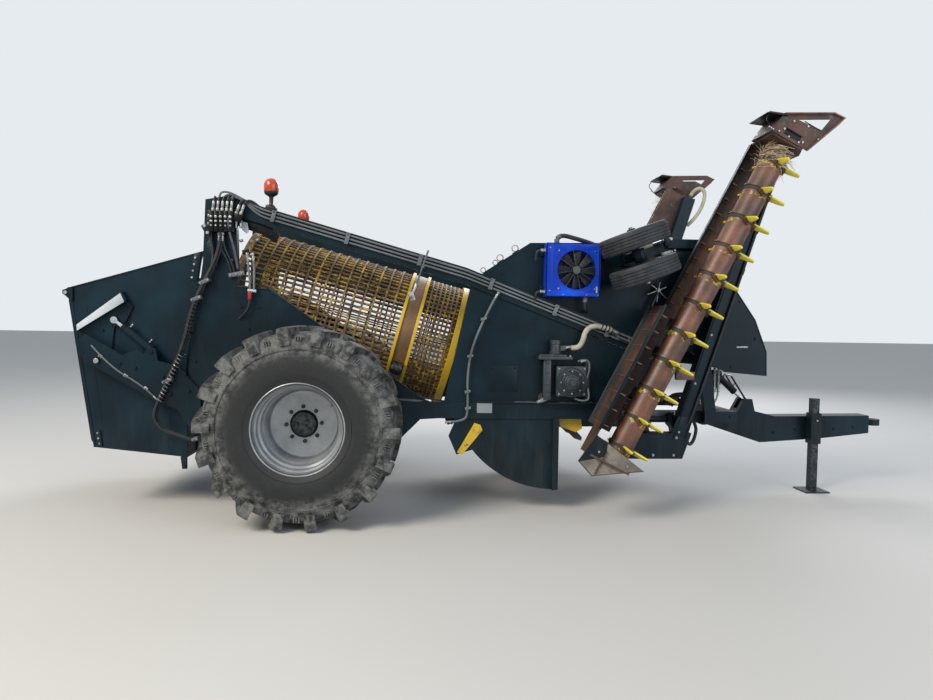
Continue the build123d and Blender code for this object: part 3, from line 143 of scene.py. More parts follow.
def rusted(name, light, dark, paint=None, keep=0.0, rough=0.75, pitted=0.5, dust="#9a8a6c", dusty=0.25):
    """Bare steel that has rusted and been polished by soil; with paint, what is left of its coat in patches."""
    def nodes(tree, place):
        broad = add(tree, "TexNoise", {"Vector": place, "Scale": 1000 / 180, "Detail": 5, "Roughness": 0.6})
        grain = add(tree, "TexNoise", {"Vector": place, "Scale": 1000 / 14, "Detail": 6, "Roughness": 0.7})
        tone = add(tree, "MapRange", {"Value": broad, "From Min": 0.32, "From Max": 0.68}, **SMOOTH)
        body = add(tree, "Mix", {0: tone, 6: dark, 7: light}, out=2, **COLOUR)
        fleck = add(tree, "MapRange", {"Value": grain, "From Min": 0.45, "From Max": 0.7, "To Max": 0.55}, **SMOOTH)
        body = add(tree, "Mix", {0: fleck, 6: body, 7: dark}, out=2, **COLOUR)
        cover = add(tree, "MapRange", {"Value": broad, "From Min": 0.2, "From Max": 0.7, "To Max": dusty}, **SMOOTH)
        lying = add(tree, "Math", {0: look_up(tree), 1: cover}, operation="MULTIPLY")
        body = add(tree, "Mix", {0: lying, 6: body, 7: dust}, out=2, **COLOUR)
        rough_out = add(tree, "MapRange", {"Value": grain, "To Min": rough - 0.15, "To Max": rough + 0.15})
        if paint:
            patch = add(tree, "TexNoise", {"Vector": place, "Scale": 1000 / 70, "Detail": 7, "Roughness": 0.72})
            left = add(tree, "MapRange", {"Value": patch, "From Min": 0.62 - 0.3 * keep, "From Max": 0.68 - 0.3 * keep},
                       **SMOOTH)
            whole = add(tree, "Math", {0: worn_edges(tree, 2.5), 1: -0.8, 2: 1.0}, operation="MULTIPLY_ADD")
            left = add(tree, "Math", {0: left, 1: whole}, operation="MULTIPLY", use_clamp=True)
            body = add(tree, "Mix", {0: left, 6: body, 7: paint}, out=2, **COLOUR)
            rough_out = add(tree, "MapRange", {"Value": left, "To Min": rough, "To Max": 0.45})
        soft = add(tree, "Math", {0: broad, 1: 0.4}, operation="MULTIPLY")
        level = add(tree, "Math", {0: grain, 1: pitted, 2: soft}, operation="MULTIPLY_ADD")
        return {"Base Color": body, "Roughness": rough_out, "IOR": 1.6,
                "Normal": add(tree, "Bump", {"Height": level, "Distance": 0.001})}
    return finished(name, nodes)


def plated(name, colour, dull, rough=0.38, cloud_mm=22):
    """Zinc-plated or oiled steel: grey metal with cloudy patches and a satin shine."""
    def nodes(tree, place):
        cloud = add(tree, "TexNoise", {"Vector": place, "Scale": 1000 / cloud_mm, "Detail": 4, "Roughness": 0.6})
        grit = add(tree, "TexNoise", {"Vector": place, "Scale": 1000 / 3, "Detail": 3})
        tone = add(tree, "MapRange", {"Value": cloud, "From Min": 0.3, "From Max": 0.75}, **SMOOTH)
        return {"Base Color": add(tree, "Mix", {0: tone, 6: dull, 7: colour}, out=2, **COLOUR), "Metallic": 1.0,
                "Roughness": add(tree, "MapRange", {"Value": cloud, "To Min": rough, "To Max": rough + 0.2}),
                "Normal": add(tree, "Bump", {"Height": grit, "Distance": 0.0001})}
    return finished(name, nodes)


def tyre_rubber(name, colour="#0c0f11", dust="#83847f"):
    """Moulded tyre rubber, matt and nearly black, with road dust on the lugs and on the shoulder."""
    def nodes(tree, place):
        hub = add(tree, "VectorMath", {0: place, 1: (AXLE / 1000, 0.0, TYRE_RADIUS / 1000)}, operation="SUBTRACT")
        flat = add(tree, "VectorMath", {0: hub, 1: (1.0, 0.0, 1.0)}, operation="MULTIPLY")
        radius = add(tree, "VectorMath", {0: flat}, out="Value", operation="LENGTH")
        blotch = add(tree, "TexNoise", {"Vector": place, "Scale": 1000 / 70, "Detail": 7, "Roughness": 0.75})
        speck = add(tree, "TexNoise", {"Vector": place, "Scale": 1000 / 9, "Detail": 4, "Roughness": 0.7})
        near = add(tree, "MapRange", {"Value": radius, "From Min": 0.5, "From Max": 0.62}, **SMOOTH)
        far = add(tree, "MapRange", {"Value": radius, "From Min": 0.84, "From Max": 0.72}, **SMOOTH)
        shoulder = add(tree, "Math", {0: near, 1: far}, operation="MULTIPLY")
        spread = add(tree, "Math", {0: shoulder, 1: 0.72, 2: 0.02}, operation="MULTIPLY_ADD")
        patch = add(tree, "MapRange", {"Value": blotch, "From Min": 0.36, "From Max": 0.66}, **SMOOTH)
        film = add(tree, "Math", {0: spread, 1: patch}, operation="MULTIPLY")
        dots = add(tree, "MapRange", {"Value": speck, "From Min": 0.55, "From Max": 0.8, "To Max": 0.14}, **SMOOTH)
        film = add(tree, "Math", {0: film, 1: dots}, operation="ADD", use_clamp=True)
        level = add(tree, "Math", {0: speck, 1: 0.5, 2: blotch}, operation="MULTIPLY_ADD")
        return {"Base Color": add(tree, "Mix", {0: film, 6: colour, 7: dust}, out=2, **COLOUR), "IOR": 1.52,
                "Roughness": add(tree, "MapRange", {"Value": film, "To Min": 0.5, "To Max": 0.92}),
                "Normal": add(tree, "Bump", {"Height": level, "Distance": 0.0012})}
    return finished(name, nodes)


def plain_rubber(name, colour, worn, rough=0.5):
    """Moulded rubber or hose cover, satin, dull where it has been rubbed."""
    def nodes(tree, place):
        patch = add(tree, "TexNoise", {"Vector": place, "Scale": 1000 / 60, "Detail": 5, "Roughness": 0.65})
        grit = add(tree, "TexNoise", {"Vector": place, "Scale": 1000 / 6, "Detail": 4})
        rub = add(tree, "MapRange", {"Value": patch, "From Min": 0.4, "From Max": 0.75, "To Max": 0.5}, **SMOOTH)
        film = add(tree, "Math", {0: look_up(tree), 1: 0.35, 2: rub}, operation="MULTIPLY_ADD", use_clamp=True)
        return {"Base Color": add(tree, "Mix", {0: film, 6: colour, 7: worn}, out=2, **COLOUR), "IOR": 1.5,
                "Roughness": add(tree, "MapRange", {"Value": film, "To Min": rough, "To Max": rough + 0.3}),
                "Normal": add(tree, "Bump", {"Height": grit, "Distance": 0.0003})}
    return finished(name, nodes)


def wheel_lacquer(name):
    """Silver wheel lacquer over pressed steel: fine metal flake under a satin top, greyer where dust has settled."""
    def nodes(tree, place):
        flake = add(tree, "TexNoise", {"Vector": place, "Scale": 1000 / 2.5, "Detail": 2})
        cloud = add(tree, "TexNoise", {"Vector": place, "Scale": 1000 / 160, "Detail": 4})
        tone = add(tree, "MapRange", {"Value": cloud, "From Min": 0.3, "From Max": 0.7}, **SMOOTH)
        ground = add(tree, "Mix", {0: tone, 6: "#85898c", 7: "#9da1a3"}, out=2, **COLOUR)
        shine = add(tree, "MapRange", {"Value": flake, "From Min": 0.5, "From Max": 0.7, "To Max": 0.35}, **SMOOTH)
        return {"Base Color": add(tree, "Mix", {0: shine, 6: ground, 7: "#c6c9c9"}, out=2, **COLOUR), "Metallic": 0.5,
                "Roughness": add(tree, "MapRange", {"Value": cloud, "To Min": 0.3, "To Max": 0.46}),
                "Normal": add(tree, "Bump", {"Height": flake, "Distance": 0.00005})}
    return finished(name, nodes)


def lamp_lens(name):
    """Moulded orange polycarbonate dome with upright flutes inside."""
    def nodes(tree, place):
        cloud = add(tree, "TexNoise", {"Vector": place, "Scale": 1000 / 30, "Detail": 3})
        tall = add(tree, "Mapping", {"Vector": place, "Scale": (1.0, 1.0, 0.05)})
        flute = add(tree, "TexNoise", {"Vector": tall, "Scale": 1000 / 8, "Detail": 2})
        return {"Base Color": add(tree, "Mix", {0: cloud, 6: "#a3280a", 7: "#d24c18"}, out=2, **COLOUR),
                "Roughness": 0.16, "IOR": 1.58, "Subsurface Weight": 0.25, "Subsurface Radius": (0.02, 0.008, 0.004),
                "Normal": add(tree, "Bump", {"Height": flute, "Distance": 0.0006})}
    return finished(name, nodes)


finish = {}


def fill_finishes(colours):
    """Makes every finish, from the colours in the property group."""
    body, deep, yellow = tuple(colours.body), tuple(colours.body_deep), tuple(colours.yellow)
    finish.update({
        "body_enamel": enamel("spray_enamel_dark_teal", body, deep),
        "frame_enamel": enamel("spray_enamel_dark_teal_frame", body, deep, dusty=0.5, chipped=0.7),
        "hopper_enamel": enamel("spray_enamel_dark_teal_hopper", "#132a35", "#0c1c26", dusty=0.3, chipped=0.6),
        "cooler_enamel": enamel("powder_coat_blue", tuple(colours.cooler), "#1236a6", dusty=0.12, chipped=0.25,
                                low=0.25, high=0.4),
        "black_enamel": enamel("satin_black_enamel", "#15181b", "#0d0f11", dusty=0.35, chipped=0.3),
        "grey_enamel": enamel("grey_pipe_enamel", "#74797c", "#565b5e", dusty=0.2, chipped=0.4),
        "reel_steel": rusted("painted_tube_rusted", "#7a4a30", "#40281b", rough=0.45, pitted=0.25, dusty=0.15),
        "guard_steel": rusted("guard_plate_rusted", "#5b3a29", "#2c1e18", paint="#26302f", keep=0.2, rough=0.7),
        "drum_steel": rusted("sieve_bar_rust_and_straw", "#84683a", "#38281a", paint="#b8932f", keep=0.3, rough=0.7,
                             dusty=0.5),
        "band_steel": rusted("running_band_rolled_rust", "#7b5735", "#5a4025", rough=0.5, pitted=0.2),
        "yellow_enamel": rusted("chipped_yellow_enamel", "#7c5a28", "#4b3018", paint=yellow, keep=1.0, rough=0.6),
        "tine_steel": rusted("spring_steel_tine_yellow", "#6c5426", "#3d2c18", paint="#dccb3a", keep=1.1, rough=0.55),
        "grate_steel": rusted("soil_polished_grate", "#5a4a3b", "#2c231d", rough=0.5, pitted=0.4),
        "rib_steel": rusted("rib_edges_rubbed_rust", "#7d5a48", "#4d3528", rough=0.6, pitted=0.3, dusty=0.2),
        "mauve_hose": plain_rubber("faded_purple_hose", "#4a4350", "#6c6672"),
        "speckled_zinc": rusted("hot_dip_galvanised_sheet", "#7e8487", "#4e5457", rough=0.5, pitted=0.3, dusty=0.1),
        "splashed_tube": rusted("tube_with_yellow_overspray", "#7a4a30", "#40281b", paint="#b7a12f", keep=0.28,
                                rough=0.5),
        # nearly black steel: painted shadow for the band under each reel collar's lip
        "painted_collar_shadow": rusted("painted_shadow_under_collar_lip", "#2c211b", "#17120f", rough=0.7, dusty=0.1),
        "dusty_plate": rusted("scoured_plate_with_pale_dust", "#8d8577", "#5d564b", rough=0.7, pitted=0.3, dusty=0.4),
        "ring_enamel": enamel("fan_hub_worn_enamel", "#3c494c", "#26343a", dusty=0.4, chipped=0.8),
        "red_cap": plain_rubber("moulded_red_cap", "#9a1f1c", "#6d1a18", 0.4),
        "straw": rusted("dry_straw_and_soil", "#e2d8b6", "#b3a278", rough=0.85, pitted=0.8, dusty=0.1),
        "tyre": tyre_rubber("moulded_tyre_rubber"),
        "hose": plain_rubber("hose_cover_rubber", "#121417", "#34363a"),
        "small_tyre": plain_rubber("gauge_tyre_rubber", "#1d2125", "#484b4d", 0.6),
        "black_plastic": plain_rubber("moulded_black_plastic", "#101214", "#2b2d2f", 0.4),
        "cream_hose": plain_rubber("fabric_wrapped_cream_hose", "#b5b09c", "#77705d", 0.7),
        "wheel_silver": wheel_lacquer("silver_wheel_lacquer"),
        "zinc": plated("zinc_plated_steel", "#b4b7b6", "#7b7e7c"),
        "dark_zinc": plated("oiled_dark_steel", "#565b5d", "#282c2e", 0.42),
        "chrome": plated("ground_chrome_rod", "#dfe2e4", "#b9bec2", 0.08, 60),
        "cast": rusted("cast_gearbox_grey_paint", "#4b4f50", "#2c2f31", paint="#1f2b30", keep=0.8, rough=0.55),
        "lamp": lamp_lens("orange_polycarbonate"),
        "blank_plate": enamel("printed_plate_left_blank", "#9da2a4", "#868b8d", dusty=0.2, chipped=0.1),
        # near white: real reflector strips and labels, and on the hopper's bracket strip its own light grey with
        # painted sunlight
        "white_plate": enamel("white_plate_and_painted_sunlit_strip", "#c3cace", "#a9b0b4", dusty=0.3, chipped=0.2),
    })


def spot(x, y, z):
    """A point given in millimetres, forward of the axle, to the left and up, as the scene's vector."""
    return Vector(((x + AXLE) / 1000, y / 1000, z / 1000))


def at(place):
    """A place as the scene's vector; a plain tuple is in millimetres, like the arguments of spot."""
    return place if isinstance(place, Vector) else spot(*place)


def mm(*lengths):
    """A vector from millimetres, with no shift: an offset, or a place in a piece's own axes."""
    return Vector(lengths) / 1000


def clock(angle):
    """The way that a hand points in side view, at an angle from straight ahead."""
    return Vector((math.cos(angle), 0, math.sin(angle)))


def verts_of(things):
    """The vertices among what a mesh operation gives back."""
    return [thing for thing in things if isinstance(thing, bmesh.types.BMVert)]


def made_from(tool, work):
    """Adds one mesh to another and empties the first."""
    mesh = bpy.data.meshes.new("part")
    tool.to_mesh(mesh)
    tool.free()
    work.from_mesh(mesh)
    bpy.data.meshes.remove(mesh)


def settle(bm, work, material, turn=None, centre=None):
    """Turns a mesh about the origin, moves it to its centre and adds it to the work in one finish."""
    if turn is not None:
        bmesh.ops.rotate(bm, cent=Vector(), matrix=turn, verts=bm.verts[:])
    if centre is not None:
        bmesh.ops.translate(bm, vec=centre, verts=bm.verts[:])
    for f in bm.faces:
        f.material_index = material
    made_from(bm, work)


def soften(bm, width_mm, angle=35.0):
    """Bevels the edges that are sharper than angle."""
    sharp = [e for e in bm.edges if len(e.link_faces) == 2 and e.calc_face_angle(0.0) > math.radians(angle)]
    if sharp and width_mm:
        bmesh.ops.bevel(bm, geom=sharp, offset=width_mm / 1000, offset_type="OFFSET", segments=2, profile=0.5,
                        affect="EDGES", material=-1, clamp_overlap=True)


def prism(work, corners, push, round_mm=2.0, material=0):
    """A plate whose outline runs through corners, thickened by the vector push."""
    bm = bmesh.new()
    face = bm.faces.new([bm.verts.new(c) for c in corners])
    pushed = bmesh.ops.extrude_face_region(bm, geom=[face])["geom"]
    bmesh.ops.translate(bm, vec=push, verts=verts_of(pushed))
    bmesh.ops.recalc_face_normals(bm, faces=bm.faces[:])
    soften(bm, round_mm)
    settle(bm, work, material)


def plate(work, outline, outer, thick, round_mm=2.0, material=0):
    """A side plate on the machine's right: its outline in side view, its outer face at |Y| = outer."""
    prism(work, [spot(x, -outer, z) for x, z in outline], mm(0, thick, 0), round_mm, material)


def block(work, centre, size, round_mm=2.0, material=0, turn=None):
    """A rounded block of the given size in millimetres, turned by a matrix or by an angle about Y."""
    bm = bmesh.new()
    bmesh.ops.create_cube(bm, size=1.0)
    bmesh.ops.scale(bm, vec=Vector(size) / 1000, verts=bm.verts[:])
    soften(bm, round_mm)
    if isinstance(turn, float):
        turn = Matrix.Rotation(turn, 3, "Y")
    settle(bm, work, material, turn, at(centre))


def bar(work, first, last, radius_mm, sides=12, material=0, tip_mm=None, round_mm=0.0):
    """A round bar between two points; tip_mm gives its far end another radius."""
    first, last = at(first), at(last)
    bm = bmesh.new()
    along = last - first
    bmesh.ops.create_cone(bm, cap_ends=True, segments=sides, radius1=radius_mm / 1000,
                          radius2=(radius_mm if tip_mm is None else tip_mm) / 1000, depth=along.length)
    soften(bm, round_mm, 50)
    settle(bm, work, material, along.to_track_quat("Z", "Y").to_matrix(), (first + last) / 2)


def bolt(work, seat, out, across_mm=24.0, high_mm=12.0, material=0):
    """A hexagon head on a round washer, standing on a face at seat and pointing out."""
    seat, out = at(seat), Vector(out).normalized()
    bar(work, seat - out * 0.002, seat + out * 0.003, across_mm * 0.62, 12, material)
    bm = bmesh.new()
    bmesh.ops.create_cone(bm, cap_ends=True, segments=6, radius1=across_mm * 0.577 / 1000,
                          radius2=across_mm * 0.577 / 1000, depth=high_mm / 1000)
    top = [e for e in bm.edges if all(v.co.z > 0 for v in e.verts)]
    bmesh.ops.bevel(bm, geom=top, offset=across_mm * 0.07 / 1000, offset_type="OFFSET", segments=1, profile=0.5,
                    affect="EDGES", material=-1)
    settle(bm, work, material, out.to_track_quat("Z", "Y").to_matrix(), seat + out * (0.003 + high_mm / 2000))


def bolts(work, places, face, across_mm=24.0, high_mm=12.0, material=0):
    """Bolt heads at places in side view, on the machine's right-hand face at |Y| = face."""
    for x, z in places:
        bolt(work, (x, -face, z), OUT, across_mm, high_mm, material)


def turned(work, profile, centre, axis, steps=64, material=0, closed=True):
    """A body of revolution. The profile gives (radius, along) in millimetres from centre along axis."""
    bm = bmesh.new()
    verts = [bm.verts.new((r / 1000, 0, h / 1000)) for r, h in profile]
    lines = [bm.edges.new((a, b)) for a, b in zip(verts, verts[1:])]
    if closed:
        lines.append(bm.edges.new((verts[-1], verts[0])))
    bmesh.ops.spin(bm, geom=verts + lines, cent=(0, 0, 0), axis=(0, 0, 1), angle=2 * math.pi, steps=steps,
                   use_merge=True)
    bmesh.ops.remove_doubles(bm, verts=bm.verts[:], dist=1e-6)
    bmesh.ops.recalc_face_normals(bm, faces=bm.faces[:])
    settle(bm, work, material, Vector(axis).to_track_quat("Z", "Y").to_matrix(), at(centre))


def ring(inner, outer, low, high):
    """The profile of a plain ring for turned: its radii and its two ends."""
    return (inner, low), (outer, low), (outer, high), (inner, high)


def run(work, points, radius_mm, material=0, resolution=6, sides=3):
    """A pipe or clipped hose whose line is a smooth NURBS curve with the points as its control points."""
    curve = bpy.data.curves.new("run", "CURVE")
    curve.dimensions = "3D"
    spline = curve.splines.new("NURBS")
    spline.points.add(len(points) - 1)
    for point, place in zip(spline.points, points):
        point.co = (*at(place), 1.0)
    spline.order_u = 3
    spline.use_endpoint_u = True
    spline.resolution_u = resolution
    curve.bevel_depth = radius_mm / 1000
    curve.bevel_resolution = sides
    curve.use_fill_caps = True
    holder = bpy.data.objects.new("run", curve)
    mesh = bpy.data.meshes.new_from_object(holder)
    bm = bmesh.new()
    bm.from_mesh(mesh)
    bmesh.ops.recalc_face_normals(bm, faces=bm.faces[:])
    settle(bm, work, material)
    bpy.data.meshes.remove(mesh)
    bpy.data.objects.remove(holder)
    bpy.data.curves.remove(curve)


def twin(work):
    """Adds the mirror image across the machine's middle plane."""
    copy = bmesh.ops.duplicate(work, geom=work.verts[:] + work.edges[:] + work.faces[:])["geom"]
    bmesh.ops.scale(work, vec=(1, -1, 1), verts=verts_of(copy))
    bmesh.ops.reverse_faces(work, faces=[g for g in copy if isinstance(g, bmesh.types.BMFace)])


def sided(name, work, body, side, *args):
    """A piece that was built on the right; the one on the left is moved over as a mirror image."""
    if side == "left":
        bmesh.ops.scale(work, vec=(1, -1, 1), verts=work.verts[:])
        bmesh.ops.reverse_faces(work, faces=work.faces[:])
    piece(name + "_" + side, work, body + "_" + side, *args)


def piece(name, work, body, looks, slot=None, stands_for=(), smooth=32.0):
    """Makes the finished object at the origin, gives it its finishes and lets it ride on its body."""
    mesh = bpy.data.meshes.new(name)
    for f in work.faces:
        f.smooth = True
    work.to_mesh(mesh)
    work.free()
    for look in looks:
        mesh.materials.append(finish[look])
    mesh.set_sharp_from_angle(angle=math.radians(smooth))
    thing = bpy.data.objects.new(name, mesh)
    bpy.context.scene.collection.objects.link(thing)
    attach(thing, body)
    if stands_for:
        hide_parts(*stands_for)
    return thing


def tint(name, description, code):
    """A colour property whose default is an sRGB hex colour."""
    return FloatVectorProperty(name=name, description=description, subtype="COLOR", size=4, min=0, max=1,
                               default=linear(code))


def length(name, description, metres):
    """A length property in metres."""
    return FloatProperty(name=name, description=description, default=metres, min=0.001, unit="LENGTH",
                         subtype="DISTANCE")


class StonePickerColours(bpy.types.PropertyGroup):
    """Colours of the machine."""
    body: tint("Body enamel", "Main coat of the chassis, hood and body panels", "#0f2630")
    body_deep: tint("Body enamel, deep", "Darker blotches of the same coat", "#091a22")
    yellow: tint("Yellow enamel", "Coat of the bands, lever and blade", "#cfab1c")
    cooler: tint("Cooler coat", "Powder coat of the oil cooler", "#1d5cf0")
    floor: tint("Floor", "Studio floor", "#cfccc6")
    backdrop: tint("Backdrop", "What the camera and reflections see behind the machine", "#e6ebef")


class StonePickerWheels(bpy.types.PropertyGroup):
    """Road wheels."""
    lugs: IntProperty(name="Lugs", description="Bars on each side of a tyre", default=18, min=8, max=30)
    lug_height: length("Lug height", "How far a bar stands out of the tread", 0.042)
    steps: IntProperty(name="Steps", description="Flats round a wheel", default=108, min=24, max=180)


class StonePickerDrum(bpy.types.PropertyGroup):
    """Sieve drum."""
    bars: IntProperty(name="Bars", description="Bars round the drum", default=72, min=24, max=120)
    hoop_pitch: length("Hoop pitch", "Between hoops behind the running band", 0.094)
    fine_pitch: length("Fine pitch", "Between hoops ahead of the running band", 0.045)


class StonePickerReels(bpy.types.PropertyGroup):
    """Windrower reels."""
    # the clamp's width is drawn as a dark band of painted shadow under its lip
    collar: length("Collar width", "Width of the clamp that holds each set of tines", 0.03)
    twist: FloatProperty(name="Twist", description="Turn from one set of tines to the next", default=0.0,
                         unit="ROTATION", subtype="ANGLE")


class StonePickerStage(bpy.types.PropertyGroup):
    """Camera and light."""
    lens: FloatProperty(name="Lens", description="Focal length on a 36 mm sensor", default=27.05, min=10, max=200,
                        subtype="DISTANCE_CAMERA", unit="CAMERA")
    key: FloatProperty(name="Key light", description="Power of the large soft light", default=1500, min=0,
                       subtype="POWER", unit="POWER")
    sky: FloatProperty(name="Ambient", description="Strength of the even light from all round", default=0.55, min=0)


NODE_FINISHES = (
    ("body_enamel", ("body_panels", "hood", "cross_members", "chute", "top_rails")),
    ("frame_enamel", ("side_frames", "rear_brackets", "front_frame", "axle", "pickup_housing", "drawbar", "arm_rests",
                      "windrower_arm_left", "windrower_arm_right", "tilt_barrels")),
    ("hopper_enamel", ("hopper", "tailgate")),
    ("dark_zinc", ("jack_leg", "drum_rollers", "hub_left", "hub_right")),
    ("cast", ("rotor_drive",)),
    ("black_plastic", ("cooler_fan",)),
    ("black_enamel", ("fold_barrel_left", "fold_barrel_right", "lift_barrel", "valve_block")),
    ("grey_enamel", ("drop_pipe", "bracket_pipe")),
    ("zinc", ("rail_pipes",)),
    ("hose", ("hose_bundle",)),
    ("chrome", ("fold_rod_left", "fold_rod_right", "tilt_rods", "lift_rod")),
    ("cooler_enamel", ("oil_cooler",)),
    ("lamp", ("beacons",)),
    ("grate_steel", ("pickup_rotor",)),
    ("reel_steel", ("reel_left", "reel_right")),
    ("guard_steel", ("reel_guard_left", "reel_guard_right")),
    ("drum_steel", ("sieve_cage",)),
    ("band_steel", ("drum_bands",)),
    ("yellow_enamel", ("cheek_levers", "front_blades")),
    ("tyre", ("tyre_left", "tyre_right")),
    ("small_tyre", ("gauge_wheels_left", "gauge_wheels_right")),
    ("wheel_silver", ("rim_left", "rim_right")),
)


class STONEPICKER_OT_finishes(bpy.types.Operator):
    """Makes the finishes and gives the frame's own nodes theirs"""
    bl_idname = "stone_picker.finishes"
    bl_label = "Finishes"

    def execute(self, context):
        fill_finishes(context.scene.stone_picker_colours)
        for look, names in NODE_FINISHES:
            for name in names:
                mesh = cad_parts[name].data
                mesh.materials.clear()
                mesh.materials.append(finish[look])
        return {"FINISHED"}


CAMERA_PLACE = Vector((-0.898, -6.7565, 1.623))
CAMERA_YAW, CAMERA_PITCH, CAMERA_ROLL = math.radians(4.12), math.radians(-2.45), math.radians(0.95)


class STONEPICKER_OT_stage(bpy.types.Operator):
    """Makes the floor, the backdrop, the soft lights and the camera"""
    bl_idname = "stone_picker.stage"
    bl_label = "Stage"

    def execute(self, context):
        settings = context.scene.stone_picker_stage
        colours = context.scene.stone_picker_colours
        context.scene.view_settings.view_transform = "Standard"

        work = bmesh.new()
        bmesh.ops.create_grid(work, x_segments=1, y_segments=1, size=60)
        floor_mesh = bpy.data.meshes.new("floor")
        work.to_mesh(floor_mesh)
        work.free()
        floor = bpy.data.objects.new("floor", floor_mesh)
        context.scene.collection.objects.link(floor)

        def floor_nodes(tree, place):
            cloud = add(tree, "TexNoise", {"Vector": place, "Scale": 1000 / 900, "Detail": 4})
            share = add(tree, "Math", {0: cloud, 1: 0.12}, operation="MULTIPLY")
            colour = add(tree, "Mix", {0: share, 6: tuple(colours.floor), 7: "#b9b5ad"}, out=2, **COLOUR)
            return {"Base Color": colour, "Roughness": 0.85}
        floor_mesh.materials.append(finished("painted_studio_floor", floor_nodes))

        world = bpy.data.worlds.new("studio")
        context.scene.world = world
        world.use_nodes = True
        tree = world.node_tree
        tree.nodes.clear()
        path = add(tree, "LightPath").node.outputs
        seen = add(tree, "Math", {0: path["Is Camera Ray"], 1: path["Is Transmission Ray"]}, operation="MAXIMUM")
        seen = add(tree, "Math", {0: seen, 1: path["Is Glossy Ray"]}, operation="MAXIMUM")
        ambient = add(tree, "Background", {"Color": "#d3e2f2", "Strength": settings.sky})
        shown = add(tree, "Background", {"Color": tuple(colours.backdrop), "Strength": 1.0})
        add(tree, "OutputWorld", {"Surface": add(tree, "MixShader", {0: seen, 1: ambient, 2: shown})})

        for name, place, aim, size, power, colour in (
                ("key_light", (-8.5, -8.0, 9.0), (0, 0, 1.0), 5.0, settings.key, "#fff6ea"),
                ("fill_light", (7.0, -9.0, 4.0), (0, 0, 1.2), 7.0, settings.key * 0.28, "#eaf1ff"),
                ("rim_light", (3.0, 9.0, 7.0), (0, 0, 1.5), 6.0, settings.key * 0.5, "#f4f8ff")):
            lamp = bpy.data.lights.new(name, "AREA")
            lamp.shape = "SQUARE"
            lamp.size = size
            lamp.energy = power
            lamp.color = linear(colour)[:3]
            holder = bpy.data.objects.new(name, lamp)
            holder.location = place
            holder.rotation_euler = (Vector(aim) - Vector(place)).to_track_quat("-Z", "Y").to_euler()
            context.scene.collection.objects.link(holder)

        level = math.cos(CAMERA_PITCH)
        ahead = Vector((math.sin(CAMERA_YAW) * level, math.cos(CAMERA_YAW) * level, math.sin(CAMERA_PITCH)))
        right = ahead.cross(UP).normalized()
        above = right.cross(ahead)
        turned_right = right * math.cos(CAMERA_ROLL) + above * math.sin(CAMERA_ROLL)
        turned_up = above * math.cos(CAMERA_ROLL) - right * math.sin(CAMERA_ROLL)
        lens = bpy.data.cameras.new("camera")
        lens.sensor_width = 36.0
        lens.lens = settings.lens
        lens.clip_end = 200.0
        camera = bpy.data.objects.new("camera", lens)
        turn = Matrix((turned_right, turned_up, -ahead)).transposed().to_4x4()
        camera.matrix_world = Matrix.Translation(CAMERA_PLACE) @ turn
        context.scene.collection.objects.link(camera)
        context.scene.camera = camera
        return {"FINISHED"}


WHEEL_CENTRE = 1206.5        # |Y| of the road wheels' middle planes
TYRE_RADIUS = 780
TREAD_HALVES = ((1, 0.0), (-1, 0.5))         # the two rows of bars stand half a pitch apart
CARCASS = ((338, 262), (362, 269), (388, 281), (430, 291), (490, 293), (560, 291), (620, 283), (664, 270),
           (703, 243), (726, 198), (735, 120), (738, 40), (738, -40), (735, -120), (726, -198), (703, -243),
           (664, -270), (620, -283), (560, -291), (490, -293), (430, -291), (388, -281), (362, -269), (338, -262),
           (341, -225), (341, 225))
RIM = ((355, 268), (351, 270), (344, 264), (337, 252), (333, 218), (320, 204), (316, 152), (301, 138), (297, 84),
       (283, 66), (278, -50), (278, -80), (297, -104), (316, -150), (328, -204), (337, -252), (344, -264),
       (351, -270), (355, -268), (350, -258), (340, -246), (336, -215), (326, -150), (290, -104), (286, 66),
       (306, 92), (312, 142), (325, 160), (330, 210), (336, 215), (340, 246), (350, 258))
DISC = ((278, -62), (262, -56), (246, -60), (111, -60), (111, -74), (280, -76))
CAP = ((0, -30), (70, -31), (92, -36), (102, -48), (104, -74), (0, -74))
LUG = ((-26, -14), (36, -14), (70, 60), (104, 150), (138, 230), (158, 289), (70, 289), (44, 216), (14, 130),
       (-12, 50))


